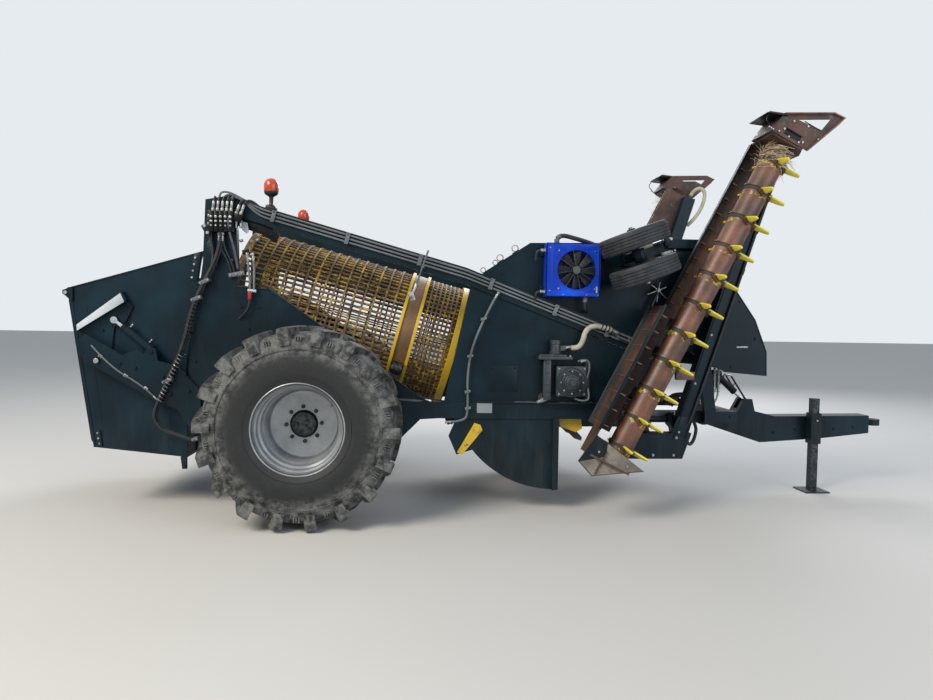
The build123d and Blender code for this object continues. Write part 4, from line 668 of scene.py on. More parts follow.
class STONEPICKER_OT_road_wheels(bpy.types.Operator):
    """Makes the lugged tyres, the stepped rims and the hubs with their nuts"""
    bl_idname = "stone_picker.road_wheels"
    bl_label = "Road wheels"

    def tyre(self, values, name, sign):
        """One tyre: a spun carcass with three fine rings, bars wrapped round it and stubs between them."""
        work = bmesh.new()
        turned(work, CARCASS, Vector(), (0, sign, 0), values.steps)
        for radius, side_y in ((402, 286), (548, 291.5), (606, 291.5)):
            turned(work, ((radius - 3, side_y - 6), (radius - 2, side_y + 1.5), (radius + 2, side_y + 1.5),
                          (radius + 3, side_y - 6)), Vector(), (0, sign, 0), values.steps)
        lug = bmesh.new()
        face = lug.faces.new([lug.verts.new((s, w, 0)) for s, w in LUG])
        bmesh.ops.translate(lug, vec=UP, verts=verts_of(bmesh.ops.extrude_face_region(lug, geom=[face])["geom"]))
        bmesh.ops.recalc_face_normals(lug, faces=lug.faces[:])
        for w in (45, 110, 175, 235):
            bmesh.ops.bisect_plane(lug, geom=lug.verts[:] + lug.edges[:] + lug.faces[:], plane_co=(0, w, 0),
                                   plane_no=(0, 1, 0))
        top = [f for f in lug.faces if f.normal.z > 0.9]
        slope = bmesh.ops.inset_region(lug, faces=top, thickness=7, depth=0.0, use_even_offset=True)["faces"]
        for v in lug.verts:
            if v.co.z > 0.5:
                near = set(v.link_faces)
                v.co.z = 1.0 if near & set(top) and near <= set(top) | set(slope) else 0.86
        shape = [v.co.copy() for v in lug.verts]
        mesh = bpy.data.meshes.new("lug")
        for out, shift in TREAD_HALVES:
            for k in range(values.lugs):
                turn = 2 * math.pi * (k + shift) / values.lugs
                for v, (s, w, h) in zip(lug.verts, shape):
                    if h < 0.5:
                        radius, lean = 640.0 if w > 250 else 716.0, 4.0 * (w > 250)
                    else:
                        crown = 779.0 - 9.0 * (w / 290) ** 4
                        radius, lean = crown + (crown - 738.0) * (h - 1.0), 0.0
                    angle = s / 768 + turn
                    radius /= 1000
                    v.co = (radius * math.sin(angle), -out * (w + lean) / 1000, -radius * math.cos(angle))
                bmesh.ops.recalc_face_normals(lug, faces=lug.faces[:])
                lug.to_mesh(mesh)
                work.from_mesh(mesh)
        lug.free()
        bpy.data.meshes.remove(mesh)
        for out, shift in TREAD_HALVES:
            for k in range(values.lugs):
                for step in (0.42, 0.5, 0.58):
                    angle = 2 * math.pi * (k + shift + step) / values.lugs + 0.17
                    way = Vector((math.sin(angle), 0, -math.cos(angle)))
                    turn = Matrix((way.cross(LEFT), LEFT, way)).transposed()
                    block(work, way * 0.682 + Vector((0, -out * 0.258, 0)), (10, 40, 40), turn=turn)
        bmesh.ops.translate(work, vec=spot(0, sign * WHEEL_CENTRE, TYRE_RADIUS), verts=work.verts[:])
        piece("lugged_tyre_" + name, work, "wheel_" + name, ("tyre",), "tyre", ("tyre_" + name,), 38)

    def execute(self, context):
        values = context.scene.stone_picker_wheels
        for name, sign in SIDES:
            self.tyre(values, name, sign)
            centre = spot(0, sign * WHEEL_CENTRE, TYRE_RADIUS)
            out = Vector((0, sign, 0))
            work = bmesh.new()
            turned(work, RIM, centre, out, values.steps)
            turned(work, DISC, centre, out, values.steps)
            for angle in (0.7, 0.7 + math.pi):
                way = clock(angle)
                block(work, centre + way * 0.262 + out * -0.052, (16, 6, 30), 2, 0, math.pi / 2 - angle)
            valve = clock(0.62)
            bar(work, centre + valve * 0.290 + out * 0.09, centre + valve * 0.283 + out * 0.125, 4, 10, 1)
            piece("stepped_rim_" + name, work, "wheel_" + name, ("wheel_silver", "dark_zinc"), "grey_paint",
                  ("rim_" + name,), 30)
            work = bmesh.new()
            turned(work, CAP, centre, out, 48)
            bar(work, (0, sign * 1010, TYRE_RADIUS), (0, sign * 1128, TYRE_RADIUS), 92, 40)
            bar(work, (0, sign * 1108, TYRE_RADIUS), (0, sign * 1131, TYRE_RADIUS), 165, 48, round_mm=3)
            for k in range(8):
                way = clock(2 * math.pi * k / 8 + 0.05)
                seat = centre + way * 0.1375 - out * 0.0598
                bolt(work, seat, out, 26, 18)
                bar(work, seat, seat + out * 0.028, 8.5)
            for k in range(6):
                way = clock(2 * math.pi * k / 6)
                bolt(work, centre + way * 0.080 - out * 0.0325, out, 10, 5)
            piece("wheel_hub_" + name, work, "wheel_" + name, ("dark_zinc",), "grey_paint", ("hub_" + name,), 35)
        return {"FINISHED"}


DRUM_SLOPE = math.radians(14.9)
DRUM_END = (-724, 0, 1887)   # middle of its rear end
COARSE = (0.060, 1.476)      # stretches of the drum, up its axis, that carry wide-set and close-set hoops
FINE = (1.644, 1.970)


def drum_frame():
    """The drum's own axes: z forward and down along its axis, from the middle of its rear end."""
    along = Vector((math.cos(DRUM_SLOPE), 0, -math.sin(DRUM_SLOPE)))
    return Matrix.Translation(spot(*DRUM_END)) @ Matrix((LEFT.cross(along), LEFT, along)).transposed().to_4x4()


class STONEPICKER_OT_sieve_drum(bpy.types.Operator):
    """Makes the drum's cage of hoops and bars, its running band and its rings"""
    bl_idname = "stone_picker.sieve_drum"
    bl_label = "Sieve drum"

    def execute(self, context):
        values = context.scene.stone_picker_drum
        place = drum_frame()
        work = bmesh.new()
        hoops = []
        for (low, high), pitch in ((COARSE, values.hoop_pitch), (FINE, values.fine_pitch)):
            count = int(round((high - low) / pitch))
            hoops += [low + (high - low) * (k + 1) / (count + 1) for k in range(count)]
        random.seed(4)
        for level in hoops:
            outer, half = (562, 8.0) if level < COARSE[1] else (556, 7.5)
            turned(work, ring(540, outer, level * 1000 - half, level * 1000 + half), Vector(), UP, values.bars)
        for k in range(values.bars):
            angle = 2 * math.pi * (k + 0.5) / values.bars
            turn = Matrix.Rotation(angle, 3, "Z")
            way = Vector((math.cos(angle), math.sin(angle), 0))
            bend = random.uniform(-0.0015, 0.0015)
            block(work, way * (0.541 + bend) + Vector((0, 0, 0.76)), (24, 15, 1440), 0, 0, turn)
            block(work, way * 0.541 + Vector((0, 0, 1.806)), (24, 15, 340), 0, 0, turn)
        bmesh.ops.transform(work, matrix=place, verts=work.verts[:])
        piece("sieve_hoops_and_bars", work, "drum", ("drum_steel",), "drum_steel", ("sieve_cage",), 30)

        work = bmesh.new()
        for low, high, radius, inner, look in ((0, 60, 572, 538, 3), (1474, 1502, 577, 540, 1),
                                               (1500, 1622, 561, 541, 0), (1618, 1646, 577, 540, 1),
                                               (1968, 2030, 571, 538, 1), (2024, 2040, 566, 530, 2)):
            turned(work, ((inner, low), (radius - 2, low), (radius, low + 3), (radius, high - 3), (radius - 2, high),
                          (inner, high)), Vector(), UP, 96, look)
        bmesh.ops.transform(work, matrix=place, verts=work.verts[:])
        looks = ("band_steel", "yellow_enamel", "dark_zinc", "drum_steel")
        piece("drum_bands_and_rings", work, "drum", looks, "drum_steel", ("drum_bands",), 30)
        return {"FINISHED"}


REEL_LEAN = math.radians(27.1)
REEL_FOOT = (2478, -1210, 489)               # middle of the right-hand reel's lower end, with the arm folded up
REEL_LENGTH = 2867           # millimetres


def reel_frame():
    """The right-hand reel's axes: z up the reel, x square to it, forward and down, y inwards."""
    along = Vector((math.sin(REEL_LEAN), 0, math.cos(REEL_LEAN)))
    ahead = Vector((math.cos(REEL_LEAN), 0, -math.sin(REEL_LEAN)))
    return Matrix.Translation(spot(*REEL_FOOT)) @ Matrix((ahead, LEFT, along)).transposed().to_4x4()


class STONEPICKER_OT_reels(bpy.types.Operator):
    """Makes the windrower reels: a tube with clamped sets of flat, yellow-tipped tines"""
    bl_idname = "stone_picker.reels"
    bl_label = "Windrower reels"

    def execute(self, context):
        values = context.scene.stone_picker_reels
        half = values.collar * 500
        for name, _ in SIDES:
            work = bmesh.new()
            turned(work, ((0, 0), (94, 0), (100, 5), (100, REEL_LENGTH - 5), (94, REEL_LENGTH), (0, REEL_LENGTH)),
                   Vector(), UP, 48, closed=False)
            turned(work, ((0, -35), (28, -35), (30, -33), (30, 2900), (28, 2902), (0, 2902)), Vector(), UP, 24, 3,
                   False)
            for k in range(11):
                level = 147 + (REEL_LENGTH - 280) / 10 * k
                # each collar: a dark band of painted shadow under the lip, the raised lip, and the yellow overspray
                # below
                for profile, look in ((ring(98, 105, level - half, level + half), 5),
                                      (ring(98, 113, level + half, level + half + 8), 0),
                                      (ring(99, 100.8, level - half - 46, level - half), 4)):
                    turned(work, profile, Vector(), UP, 40, look)
                for way in (-15, -85, 100):
                    angle = math.radians(way) + values.twist * k
                    tine = bmesh.new()
                    shape = ((97, -31), (130, -27), (215, -17), (240, -10), (240, 10), (215, 17), (130, 27), (97, 31))
                    prism(tine, [Vector((x / 1000, y / 1000, -0.008)) for x, y in shape], Vector((0, 0, 0.016)), 2, 1)
                    for y in (-0.022, 0.022):
                        block(tine, Vector((0.113, y, 0)), (22, 12, 34), 2, 2)
                    block(tine, Vector((0.105, 0, -0.026)), (34, 60, 22), 3, 2)
                    bolt(tine, Vector((0.122, 0, 0.008)), UP, 16, 8, 3)
                    for turn in (Matrix.Rotation(math.radians(-24), 3, "X"), Matrix.Rotation(angle, 3, "Z")):
                        bmesh.ops.rotate(tine, cent=Vector(), matrix=turn, verts=tine.verts[:])
                    bmesh.ops.translate(tine, vec=(0, 0, level / 1000), verts=tine.verts[:])
                    made_from(tine, work)
            bmesh.ops.transform(work, matrix=reel_frame(), verts=work.verts[:])
            looks = ("reel_steel", "tine_steel", "guard_steel", "dark_zinc", "splashed_tube", "painted_collar_shadow")
            sided("tined_reel", work, "reel", name, looks, "reel_steel", ("reel_" + name,))
        return {"FINISHED"}


GAUGE_CENTRE = (2664, -1190, 2165)           # between the right-hand twin wheels, with the arm folded up
GAUGE_TILT = math.radians(20.5)
GAUGE_AXIS = Vector((-math.sin(GAUGE_TILT), 0, math.cos(GAUGE_TILT)))


class STONEPICKER_OT_gauge_wheels(bpy.types.Operator):
    """Makes the twin gauge wheels with grooved treads on each windrower"""
    bl_idname = "stone_picker.gauge_wheels"
    bl_label = "Gauge wheels"

    def execute(self, context):
        hub = [(0, 50), (60, 50), (64, 64), (92, 64), (96, 40), (150, 36), (156, 66), (168, 70), (172, 60), (210, 74)]
        tread = [(258, -72), (272, -68), (279, -58)]
        for groove in (-42, -18, 6, 30):
            tread += [(280, groove - 4), (273, groove - 2), (273, groove + 2), (280, groove + 4)]
        tread += [(279, 58), (272, 68), (258, 72)]
        section = [(radius, -along) for radius, along in hub] + tread + hub[::-1]
        for name, _ in SIDES:
            work = bmesh.new()
            for step in (-136, 136):
                turned(work, section, spot(*GAUGE_CENTRE) + GAUGE_AXIS * step / 1000, GAUGE_AXIS, closed=False)
            for f in work.faces:
                middle = f.calc_center_median() - spot(*GAUGE_CENTRE)
                f.material_index = 1 if (middle - GAUGE_AXIS * middle.dot(GAUGE_AXIS)).length < 0.164 else 0
            sided("grooved_wheels", work, "gauge", name, ("small_tyre", "frame_enamel"), "tyre",
                  ("gauge_wheels_" + name,), 34)
        return {"FINISHED"}


RAIL_EDGE = ((-636.5, 2590), (1290, 2062), (2900, 1450))     # the top rail's upper edge in side view


def on_rail(x, below, y=-881):
    """A place along the top rail, at a distance below its upper edge."""
    rear, bend, foot = RAIL_EDGE
    start, end = (rear, bend) if x < bend[0] else (bend, foot)
    return x, y, start[1] - (x - start[0]) * (start[1] - end[1]) / (end[0] - start[0]) - below


def fitting(work, seat, way, radius_mm, long_mm, nut=1, tail=1):
    """A hose end: a hexagon nut, a collar and a crimped ferrule, standing on seat."""
    seat, way = at(seat), Vector(way).normalized()
    nut_end, collar_end, tail_end = (seat + way * share * long_mm / 1000 for share in (0.3, 0.4, 1))
    bar(work, seat, nut_end, radius_mm * 1.25, 6, nut, round_mm=1)
    bar(work, nut_end, collar_end, radius_mm * 0.85, 12, nut)
    bar(work, collar_end, tail_end, radius_mm, 16, tail, round_mm=1.5)


class STONEPICKER_OT_valve_bank(bpy.types.Operator):
    """Makes the valve sections, hose ends and lines on the rear column"""
    bl_idname = "stone_picker.valve_bank"
    bl_label = "Valve bank"

    def execute(self, context):
        work = bmesh.new()
        for k in range(5):
            x = -781 + 38 * k
            block(work, (x, -908, 2385), (33, 84, 168), 4)
            block(work, (x, -905, 2385), (39, 60, 130))
            bar(work, (x, -949, 2420), (x, -960, 2420), 11, 16, 1, round_mm=1)
            bolt(work, (x, -950, 2350), OUT, 13, 7, 1)
            block(work, (x, -951, 2385), (20, 3, 14), 1, 1)
            fitting(work, (-778 + 36 * k, -910, 2468), (0.1, 0, 1), 12, 84)
            hose = [(x - 770 + 36 * k, y, z) for x, y, z in ((0, -910, 2545), (4, -910, 2572), (14, -908, 2590))]
            run(work, hose, 9.5, 2, 4)
        # second pair of hose ends, on a cross-drilled block ahead of the sections
        block(work, (-575, -900, 2420), (66, 66, 60), 4, 0, 0.35)
        for x in (-598, -560):
            fitting(work, (x, -905, 2442), (0.35, 0, 1), 13, 88)
            run(work, [(x + 28, -905, 2524), (x + 40, -900, 2560), (x + 90, -885, 2568), on_rail(x + 150, 12, -880)],
                9, 2, 5)
            fitting(work, (x + 6, -905, 2398), (-0.05, 0, -1), 11, 60)
        # the black plate with two bolts and the rounded cover behind it
        plate(work, [(-866, 2345), (-830, 2372), (-790, 2330), (-790, 2290), (-818, 2262)], 932, 8, 1, 3)
        bolts(work, ((-838, 2346), (-814, 2292)), 932, 22, 8, 1)
        plate(work, [(-842, 2150), (-838, 2215), (-812, 2246), (-780, 2240), (-742, 2020), (-770, 2010)], 888, 22, 8, 3)
        # ribs of the protected hose along the rear edge
        for k in range(7):
            level = 2478 - 33 * k
            bar(work, (-812 - k, -896, level), (-809 - k, -896, level - 20), 13, 14, 1 if k % 2 else 2, round_mm=2)
        run(work, [(-812, -896, 2480), (-818, -896, 2360), (-800, -905, 2230), (-770, -912, 2100), (-778, -914, 2010)],
            10, 2)
        run(work, [(-790, -905, 2300), (-795, -905, 2230), (-768, -910, 2140), (-790, -914, 2020)], 8, 2)
        # the long grey line down to the steel bar, and two shorter ones beside it
        run(work, [(-634, -925, 2470), (-650, -945, 2420), (-640, -940, 2300), (-600, -925, 2150), (-580, -905, 2010)],
            9, 5)
        for top, x, z in ((-735, -640, 1988), (-700, -610, 1975)):
            run(work, [(top, -905, 2300), (top + 4, -908, 2190), (x - 18, -900, z + 90), (x, -890, z)], 7.5, 2, 5)
        turn = math.radians(-12)
        block(work, (-595, -882, 1966), (124, 34, 34), 2, 4, turn)
        for step in (-45, 0, 45):
            bolt(work, (-595 + step, -899, 1966 + step * 0.21), OUT, 15, 7, 1)
        plate(work, [(-556, 2398), (-512, 2386), (-500, 2310), (-520, 2300), (-556, 2330)], 871, 4, 1, 6)
        # the two pale pipes with their tee and red cap, and the union above
        for x, foot in ((-508, -482), (-462, -450)):
            fitting(work, (x, -905, 2140), (0.12, 0, -1), 10, 70)
            run(work, [(x + 8, -905, 2076), (x + 14, -905, 2000), (foot, -905, 1900), (foot, -905, 1838)], 9, 4, 5)
        bar(work, (-500, -905, 1836), (-432, -905, 1830), 12, 14, 6, round_mm=2)
        bar(work, (-482, -905, 1830), (-484, -905, 1760), 17, 18, 7, round_mm=4)
        run(work, [(-484, -905, 1765), (-488, -905, 1700), (-530, -895, 1640), (-580, -870, 1600)], 9, 2, 5)
        block(work, (-520, -876, 2150), (60, 20, 40), 3, 0, turn)
        for x, z in ((-560, 2240), (-640, 2080), (-430, 2250)):
            block(work, (x, -872, z), (30, 14, 22), 2, 4, turn)
            bolt(work, (x, -879, z), OUT, 13, 6, 1)
        looks = ("black_enamel", "zinc", "hose", "frame_enamel", "grey_enamel", "mauve_hose", "white_plate", "red_cap")
        piece("valve_sections_and_hose_ends", work, "chassis", looks, "frame_paint", ("valve_block",))
        return {"FINISHED"}


class STONEPICKER_OT_rail_lines(bpy.types.Operator):
    """Makes the bright pipes along the top rail with their clamps, and the rod that tightens the roller"""
    bl_idname = "stone_picker.rail_lines"
    bl_label = "Rail pipes"

    def execute(self, context):
        work = bmesh.new()
        for k in range(3):
            below = 25 + 30 * k
            rise = -742 + 36 * k
            crest = 2628 - 22 * k
            way = [(rise + 8, -904, 2548), (rise + 12, -896, crest - 20), (rise + 40, -888, crest + 6),
                   (rise + 110, -882, crest - 4)] + [on_rail(x, below) for x in (-420, -300, 1200, 1290, 1380, 2560)]
            run(work, way, 8.5, 0, 8)
            run(work, [on_rail(2560, below), on_rail(2700, below), on_rail(2800 - 40 * k, below + 12, -878),
                       on_rail(2830 - 40 * k, below + 50, -872)], 8.5, 2, 5)
            fitting(work, on_rail(2545, below), (1, 0, -0.38), 10.5, 60, 0, 0)
        for x in (-300, 300, 900, 1500, 2050, 2500):
            turn = math.atan(0.274 if x < RAIL_EDGE[1][0] else 0.38)
            block(work, on_rail(x, 55), (32, 26, 86), 3, 1, turn)
            block(work, on_rail(x, 55, -896), (32, 4, 96), 1, 0, turn)
            for below in (15, 95):
                bolt(work, on_rail(x, below, -898), OUT, 13, 7)
        # electric cable for the beacons, tied along the rail's upper edge
        run(work, [on_rail(x, below, -872) for x, below in ((-560, 8), (-330, 6), (1290, 6), (2300, 6))], 5, 2, 4, 2)
        # rod with a clevis, from the rail down to the roller of the running band
        foot, top = spot(850, -884, 1846), spot(968, -884, 2196)
        way = (top - foot).normalized()
        bar(work, foot, top, 8, 16)
        bar(work, foot + way * 0.215, foot + way * 0.235, 19, 6)
        bar(work, top - way * 0.08, top - way * 0.065, 17, 6)
        bar(work, foot - way * 0.02, foot + way * 0.075, 15, 16, 3, round_mm=2)
        for y in (-903, -872):
            block(work, (836, y, 1812), (42, 7, 74), 3, 3, -0.32)
        bar(work, (832, -912, 1800), (832, -862, 1800), 11, 16, round_mm=1)
        block(work, (906, -878, 2012), (74, 26, 30), 3, 1, 0.27)
        looks = ("grey_enamel", "frame_enamel", "hose", "zinc")
        piece("rail_pipes_and_clamps", work, "chassis", looks, "frame_paint", ("rail_pipes",))
        return {"FINISHED"}


class STONEPICKER_OT_hose_lines(bpy.types.Operator):
    """Makes the hose bundle with its spiral guard, and the steel pipes on the panel and the rear bracket"""
    bl_idname = "stone_picker.hose_lines"
    bl_label = "Hoses and pipes"

    def execute(self, context):
        work = bmesh.new()
        route = ((-712, 2300), (-712, 2150), (-889, 1805), (-952, 1640), (-1007, 1366), (-1213, 909), (-1245, 790),
                 (-1180, 690), (-1039, 640), (-925, 600))
        for shift_x, y in ((-12, -908), (12, -908), (-1, -926)):
            run(work, [spot(x + shift_x, y, z) for x, z in route], 10.5, 0, 7)
        # spiral guards round two stretches of it
        for first, last, look in ((spot(-1018, -915, 1318), spot(-1196, -915, 925), 1),
                                  (spot(-905, -915, 1742), spot(-990, -915, 1440), 0)):
            along = last - first
            across = along.normalized().cross(LEFT).normalized()
            steps = int(along.length / 0.030) * 8
            helix = []
            for k in range(steps + 1):
                angle = 2 * math.pi * k / 8
                reach = across * math.cos(angle) + Vector((0, math.sin(angle), 0))
                helix.append(first + along * k / steps + reach * 0.026)
            run(work, helix, 3.6, look, 2, 1)
        for x, z, turn in ((-840, 1900, 0.47), (-905, 1760, 0.4), (-1132, 1090, 0.42), (-912, 614, 0.2)):
            wide = 46 if z < 700 else 84
            block(work, (x, -904, z), (wide, 68, 30), 4, 2, -turn)
            for step in (-0.36 * wide, 0.36 * wide):
                bolt(work, (x + step, -938, z + turn * step), OUT, 14, 7, 1)
        for x in (-726, -702):
            fitting(work, (x, -908, 2302), (0, 0, -1), 13, 74)
        looks = ("hose", "zinc", "grey_enamel")
        piece("hose_bundle_and_guard", work, "chassis", looks, "rubber_hose", ("hose_bundle",))

        work = bmesh.new()
        drop = ((1545, 1832), (1395, 1549), (1307, 1227), (1322, 838), (1289, 772), (1179, 763))
        run(work, [spot(x, -881, z) for x, z in drop], 10, 0, 8)
        for x, z, face in ((1441, 1636, 845), (1332, 1320, 845), (1315, 1020, 845), (1320, 880, 865)):
            block(work, (x, -(face + 895) / 2, z), (50, 895 - face, 24), 3, 0, -0.3)
            bolt(work, (x + 17, -895, z + 5), OUT, 13, 6, 1)
        fitting(work, (1565, -881, 1862), (-0.5, 0, -0.87), 12, 60)
        fitting(work, (1180, -881, 763), (-1, 0, -0.05), 12, 52)
        piece("panel_drop_pipe", work, "chassis", ("grey_enamel", "zinc"), "grey_paint", ("drop_pipe",))

        work = bmesh.new()
        thin = ((-1740, 1370), (-1593, 1195), (-1342, 1050), (-1250, 960))
        run(work, [spot(x, -898, z) for x, z in thin], 7, 0, 7)
        for x, z in ((-1668, 1284), (-1470, 1126), (-1310, 1024)):
            block(work, (x, -897, z), (34, 13, 22), 2, 1, 0.6)
            bolt(work, (x - 10, -903, z), OUT, 12, 6, 1)
        fitting(work, (-1252, -898, 962), (0.7, 0, -0.7), 9, 40)
        piece("bracket_thin_pipe", work, "chassis", ("grey_enamel", "zinc"), "grey_paint", ("bracket_pipe",))
        return {"FINISHED"}


class STONEPICKER_OT_ram_details(bpy.types.Operator):
    """Makes the barrels' glands, ports and hose ends"""
    bl_idname = "stone_picker.ram_details"
    bl_label = "Ram details"

    def execute(self, context):
        # for each body: foot and eye of its barrels, the barrel's length and the way its ports point
        rams = [("fold_barrel_" + name, [((2896, sign * 310, 1080), (2896, sign * 810, 1080), 390, UP)])
                for name, sign in SIDES]
        rams.append(("tilt_barrels", [((-1272, sign * 825, 1319), (-1588, sign * 825, 1576), 297,
                                       Vector((0.63, 0, 0.78))) for sign in (1, -1)]))
        rams.append(("lift_barrel", [((3850, 0, 1130), (4150, 0, 860), 238, Vector((0.67, 0, 0.74)))]))
        for name, barrels in rams:
            work = bmesh.new()
            for foot, eye, reach, up in barrels:
                foot = spot(*foot)
                way = (spot(*eye) - foot).normalized()
                end = foot + way * (reach + 26) / 1000
                turned(work, ((17.5, -30), (33, -30), (34.5, -28), (34.5, -2), (32, 0), (17.5, 0)), end + way * 0.002,
                       way, 24)
                bar(work, foot + way * 0.034, foot + way * 0.046, 34, 24, round_mm=2)
                for step in (0.075, (reach - 26) / 1000):
                    seat = foot + way * step + up * 0.030
                    block(work, seat, (24, 24, 14), 2, 0, way.to_track_quat("X", "Z").to_matrix())
                    fitting(work, seat + up * 0.006, up, 8, 34)
            piece("glands_and_ports_" + name, work, name, ("black_enamel", "zinc"))
        return {"FINISHED"}


class STONEPICKER_OT_beacons(bpy.types.Operator):
    """Makes the orange beacons on their stems"""
    bl_idname = "stone_picker.beacons"
    bl_label = "Beacons"

    def execute(self, context):
        work = bmesh.new()
        base = spot(-330, -827.5, 0)
        block(work, (-330, -827.5, 2519), (84, 60, 26), 3, 0, 0.27)
        for step in (-28, 28):
            bolt(work, (-330 + step, -827.5, 2532 - step * 0.27), UP, 13, 7, 2)
        turned(work, ((0, 2520), (30, 2520), (30, 2536), (20, 2544), (17, 2552), (17, 2606), (22, 2612), (40, 2622),
                      (54, 2634), (58, 2646), (58, 2652), (0, 2652)), base, UP, 32, 0, False)
        dome = [(0, 2650), (56, 2650), (60, 2658), (60, 2702)]
        dome += [(60 * math.cos(a), 2702 + 60 * math.sin(a)) for a in (0.25, 0.5, 0.75, 1.0, 1.25, 1.42)] + [(0, 2762)]
        turned(work, dome, base, UP, 48, 1, False)
        run(work, [(-330, -850, 2560), (-325, -868, 2555), (-300, -874, 2530), (-270, -873, 2494)], 4, 3, 4)
        twin(work)
        piece("beacon_lamps", work, "chassis", ("black_plastic", "lamp", "zinc", "hose"), "lamp", ("beacons",), 40)
        return {"FINISHED"}


def fan_centre(face):
    """The middle of the cooler's fan, at |Y| = face."""
    return spot(2215, -face, 2058)


class STONEPICKER_OT_oil_cooler(bpy.types.Operator):
    """Makes the cooler's folded box, core, fan guard and pipes, and the fan itself"""
    bl_idname = "stone_picker.oil_cooler"
    bl_label = "Oil cooler"

    def execute(self, context):
        work = bmesh.new()
        # front sheet with a round opening: a turned mouth inside a frame of four plates
        for x, z, wide, high in ((1985, 2057, 58, 450), (2397, 2057, 26, 450), (2199, 1860, 370, 56),
                                 (2199, 2253, 370, 58)):
            block(work, (x, -925, z), (wide, 10, high), 1.5)
        sheet = bmesh.new()
        mouth = bmesh.ops.create_circle(sheet, cap_ends=False, segments=64, radius=0.166)["verts"]
        for v in mouth:
            v.co = Vector((v.co.x, 0, v.co.y))
        for v in verts_of(bmesh.ops.extrude_edge_only(sheet, edges=sheet.edges[:])["geom"]):
            reach = max(abs(v.co.x) / 0.200, abs(v.co.z) / 0.187)
            v.co = Vector((v.co.x / reach, 0, v.co.z / reach))
        bmesh.ops.translate(sheet, vec=fan_centre(928), verts=sheet.verts[:])
        bmesh.ops.recalc_face_normals(sheet, faces=sheet.faces[:])
        if sum(f.normal.y for f in sheet.faces) > 0:
            bmesh.ops.reverse_faces(sheet, faces=sheet.faces[:])
        made_from(sheet, work)
        turned(work, ((166, 0), (176, 0), (176, -3), (170, -4), (168, -58), (164, -58), (164, -4)), fan_centre(931),
               OUT)
        block(work, (2183, -826, 2057), (454, 64, 450), 3)
        for x, z, wide, high in ((1960, 2057, 8, 450), (2406, 2057, 8, 450), (2183, 1836, 454, 8),
                                 (2183, 2278, 454, 8)):
            block(work, (x, -892, z), (wide, 76, high), 1.5)
        # the core's fins behind the fan
        for k in range(26):
            block(work, (2058 + 12.6 * k, -864, 2058), (3, 14, 320), 0, 1)
        for k in range(13):
            block(work, (2215, -866, 1904 + 26 * k), (320, 12, 3), 0, 1)
        # fan guard: rings and eight wires, with a plate in the middle
        for radius in (40, 74, 108, 142, 170):
            turned(work, ring(radius - 1.8, radius + 1.8, -2, 2), fan_centre(928), OUT, 64, 1)
        for k in range(8):
            way = clock(math.pi * k / 4 + 0.2)
            bar(work, fan_centre(926) + way * 0.030, fan_centre(926) + way * 0.174, 1.9, 8, 2)
        turned(work, ((0, 3), (30, 3), (34, 0), (34, -4), (0, -4)), fan_centre(926), OUT, 32, 2, False)
        bolts(work, ((2060, 1900), (2370, 1900), (2060, 2218), (2370, 2218)), 930, 12, 6, 3)
        bolts(work, ((1985, 1880), (1985, 2240), (2399, 1850), (2399, 2264), (2100, 1850), (2300, 1850)), 930, 10, 5, 3)
        # fittings at the corners, the top elbow and the black pipe that leads forward, and a pipe below
        for z in (1872, 2216):
            fitting(work, (1954, -900, z), (-1, 0, 0), 15, 46, 3, 3)
            run(work, [(1912, -900, z), (1886, -900, z), (1872, -895, z - 30), (1872, -880, z - 80)], 11, 5, 5)
        bar(work, (2046, -895, 2276), (2046, -895, 2318), 22, 20, 4, round_mm=2)
        bar(work, (2046, -895, 2318), (2076, -893, 2344), 21, 20, 4, round_mm=4)
        run(work, [(2064, -893, 2338), (2100, -891, 2350), (2200, -887, 2326), (2330, -884, 2292), (2400, -880, 2262),
                   (2440, -868, 2220), (2470, -840, 2180), (2480, -800, 2150)], 19, 5, 7)
        bar(work, (2300, -890, 1834), (2300, -890, 1790), 20, 20, 4, round_mm=2)
        run(work, [(2300, -890, 1794), (2300, -890, 1745), (2310, -870, 1720), (2330, -820, 1715), (2340, -790, 1715)],
            17, 5, 5)
        block(work, (2386, -931, 1896), (12, 2, 52), 0, 6)
        # straps that carry the cooler from the hood's side
        for z in (1900, 2200):
            for x in (1940, 2425):
                block(work, (x, -810, z), (34, 40, 46), 2, 7)
        looks = ("cooler_enamel", "black_enamel", "grey_enamel", "zinc", "grey_enamel", "hose", "white_plate",
                 "frame_enamel")
        piece("cooler_box_and_guard", work, "chassis", looks, "blue_paint", ("oil_cooler",), 30)

        work = bmesh.new()
        centre = fan_centre(905)
        turned(work, ((0, 22), (34, 22), (43, 14), (45, -16), (0, -16)), centre, OUT, 32, 0, False)
        for k in range(8):
            turn = Matrix.Rotation(2 * math.pi * k / 8, 3, "Y")
            blade = bmesh.new()
            outline = ((36, -16), (90, -30), (156, -38), (158, 26), (90, 22), (36, 12))
            prism(blade, [mm(x, 0, z) for x, z in outline], mm(0, 4, 0), 1)
            for v in blade.verts:
                v.co.y += 0.45 * v.co.z * (0.6 + v.co.x * 2.0)
            bmesh.ops.rotate(blade, cent=Vector(), matrix=turn, verts=blade.verts[:])
            bmesh.ops.translate(blade, vec=centre, verts=blade.verts[:])
            made_from(blade, work)
        piece("fan_blades_and_hub", work, "fan", ("black_plastic",), None, ("cooler_fan",), 40)
        return {"FINISHED"}


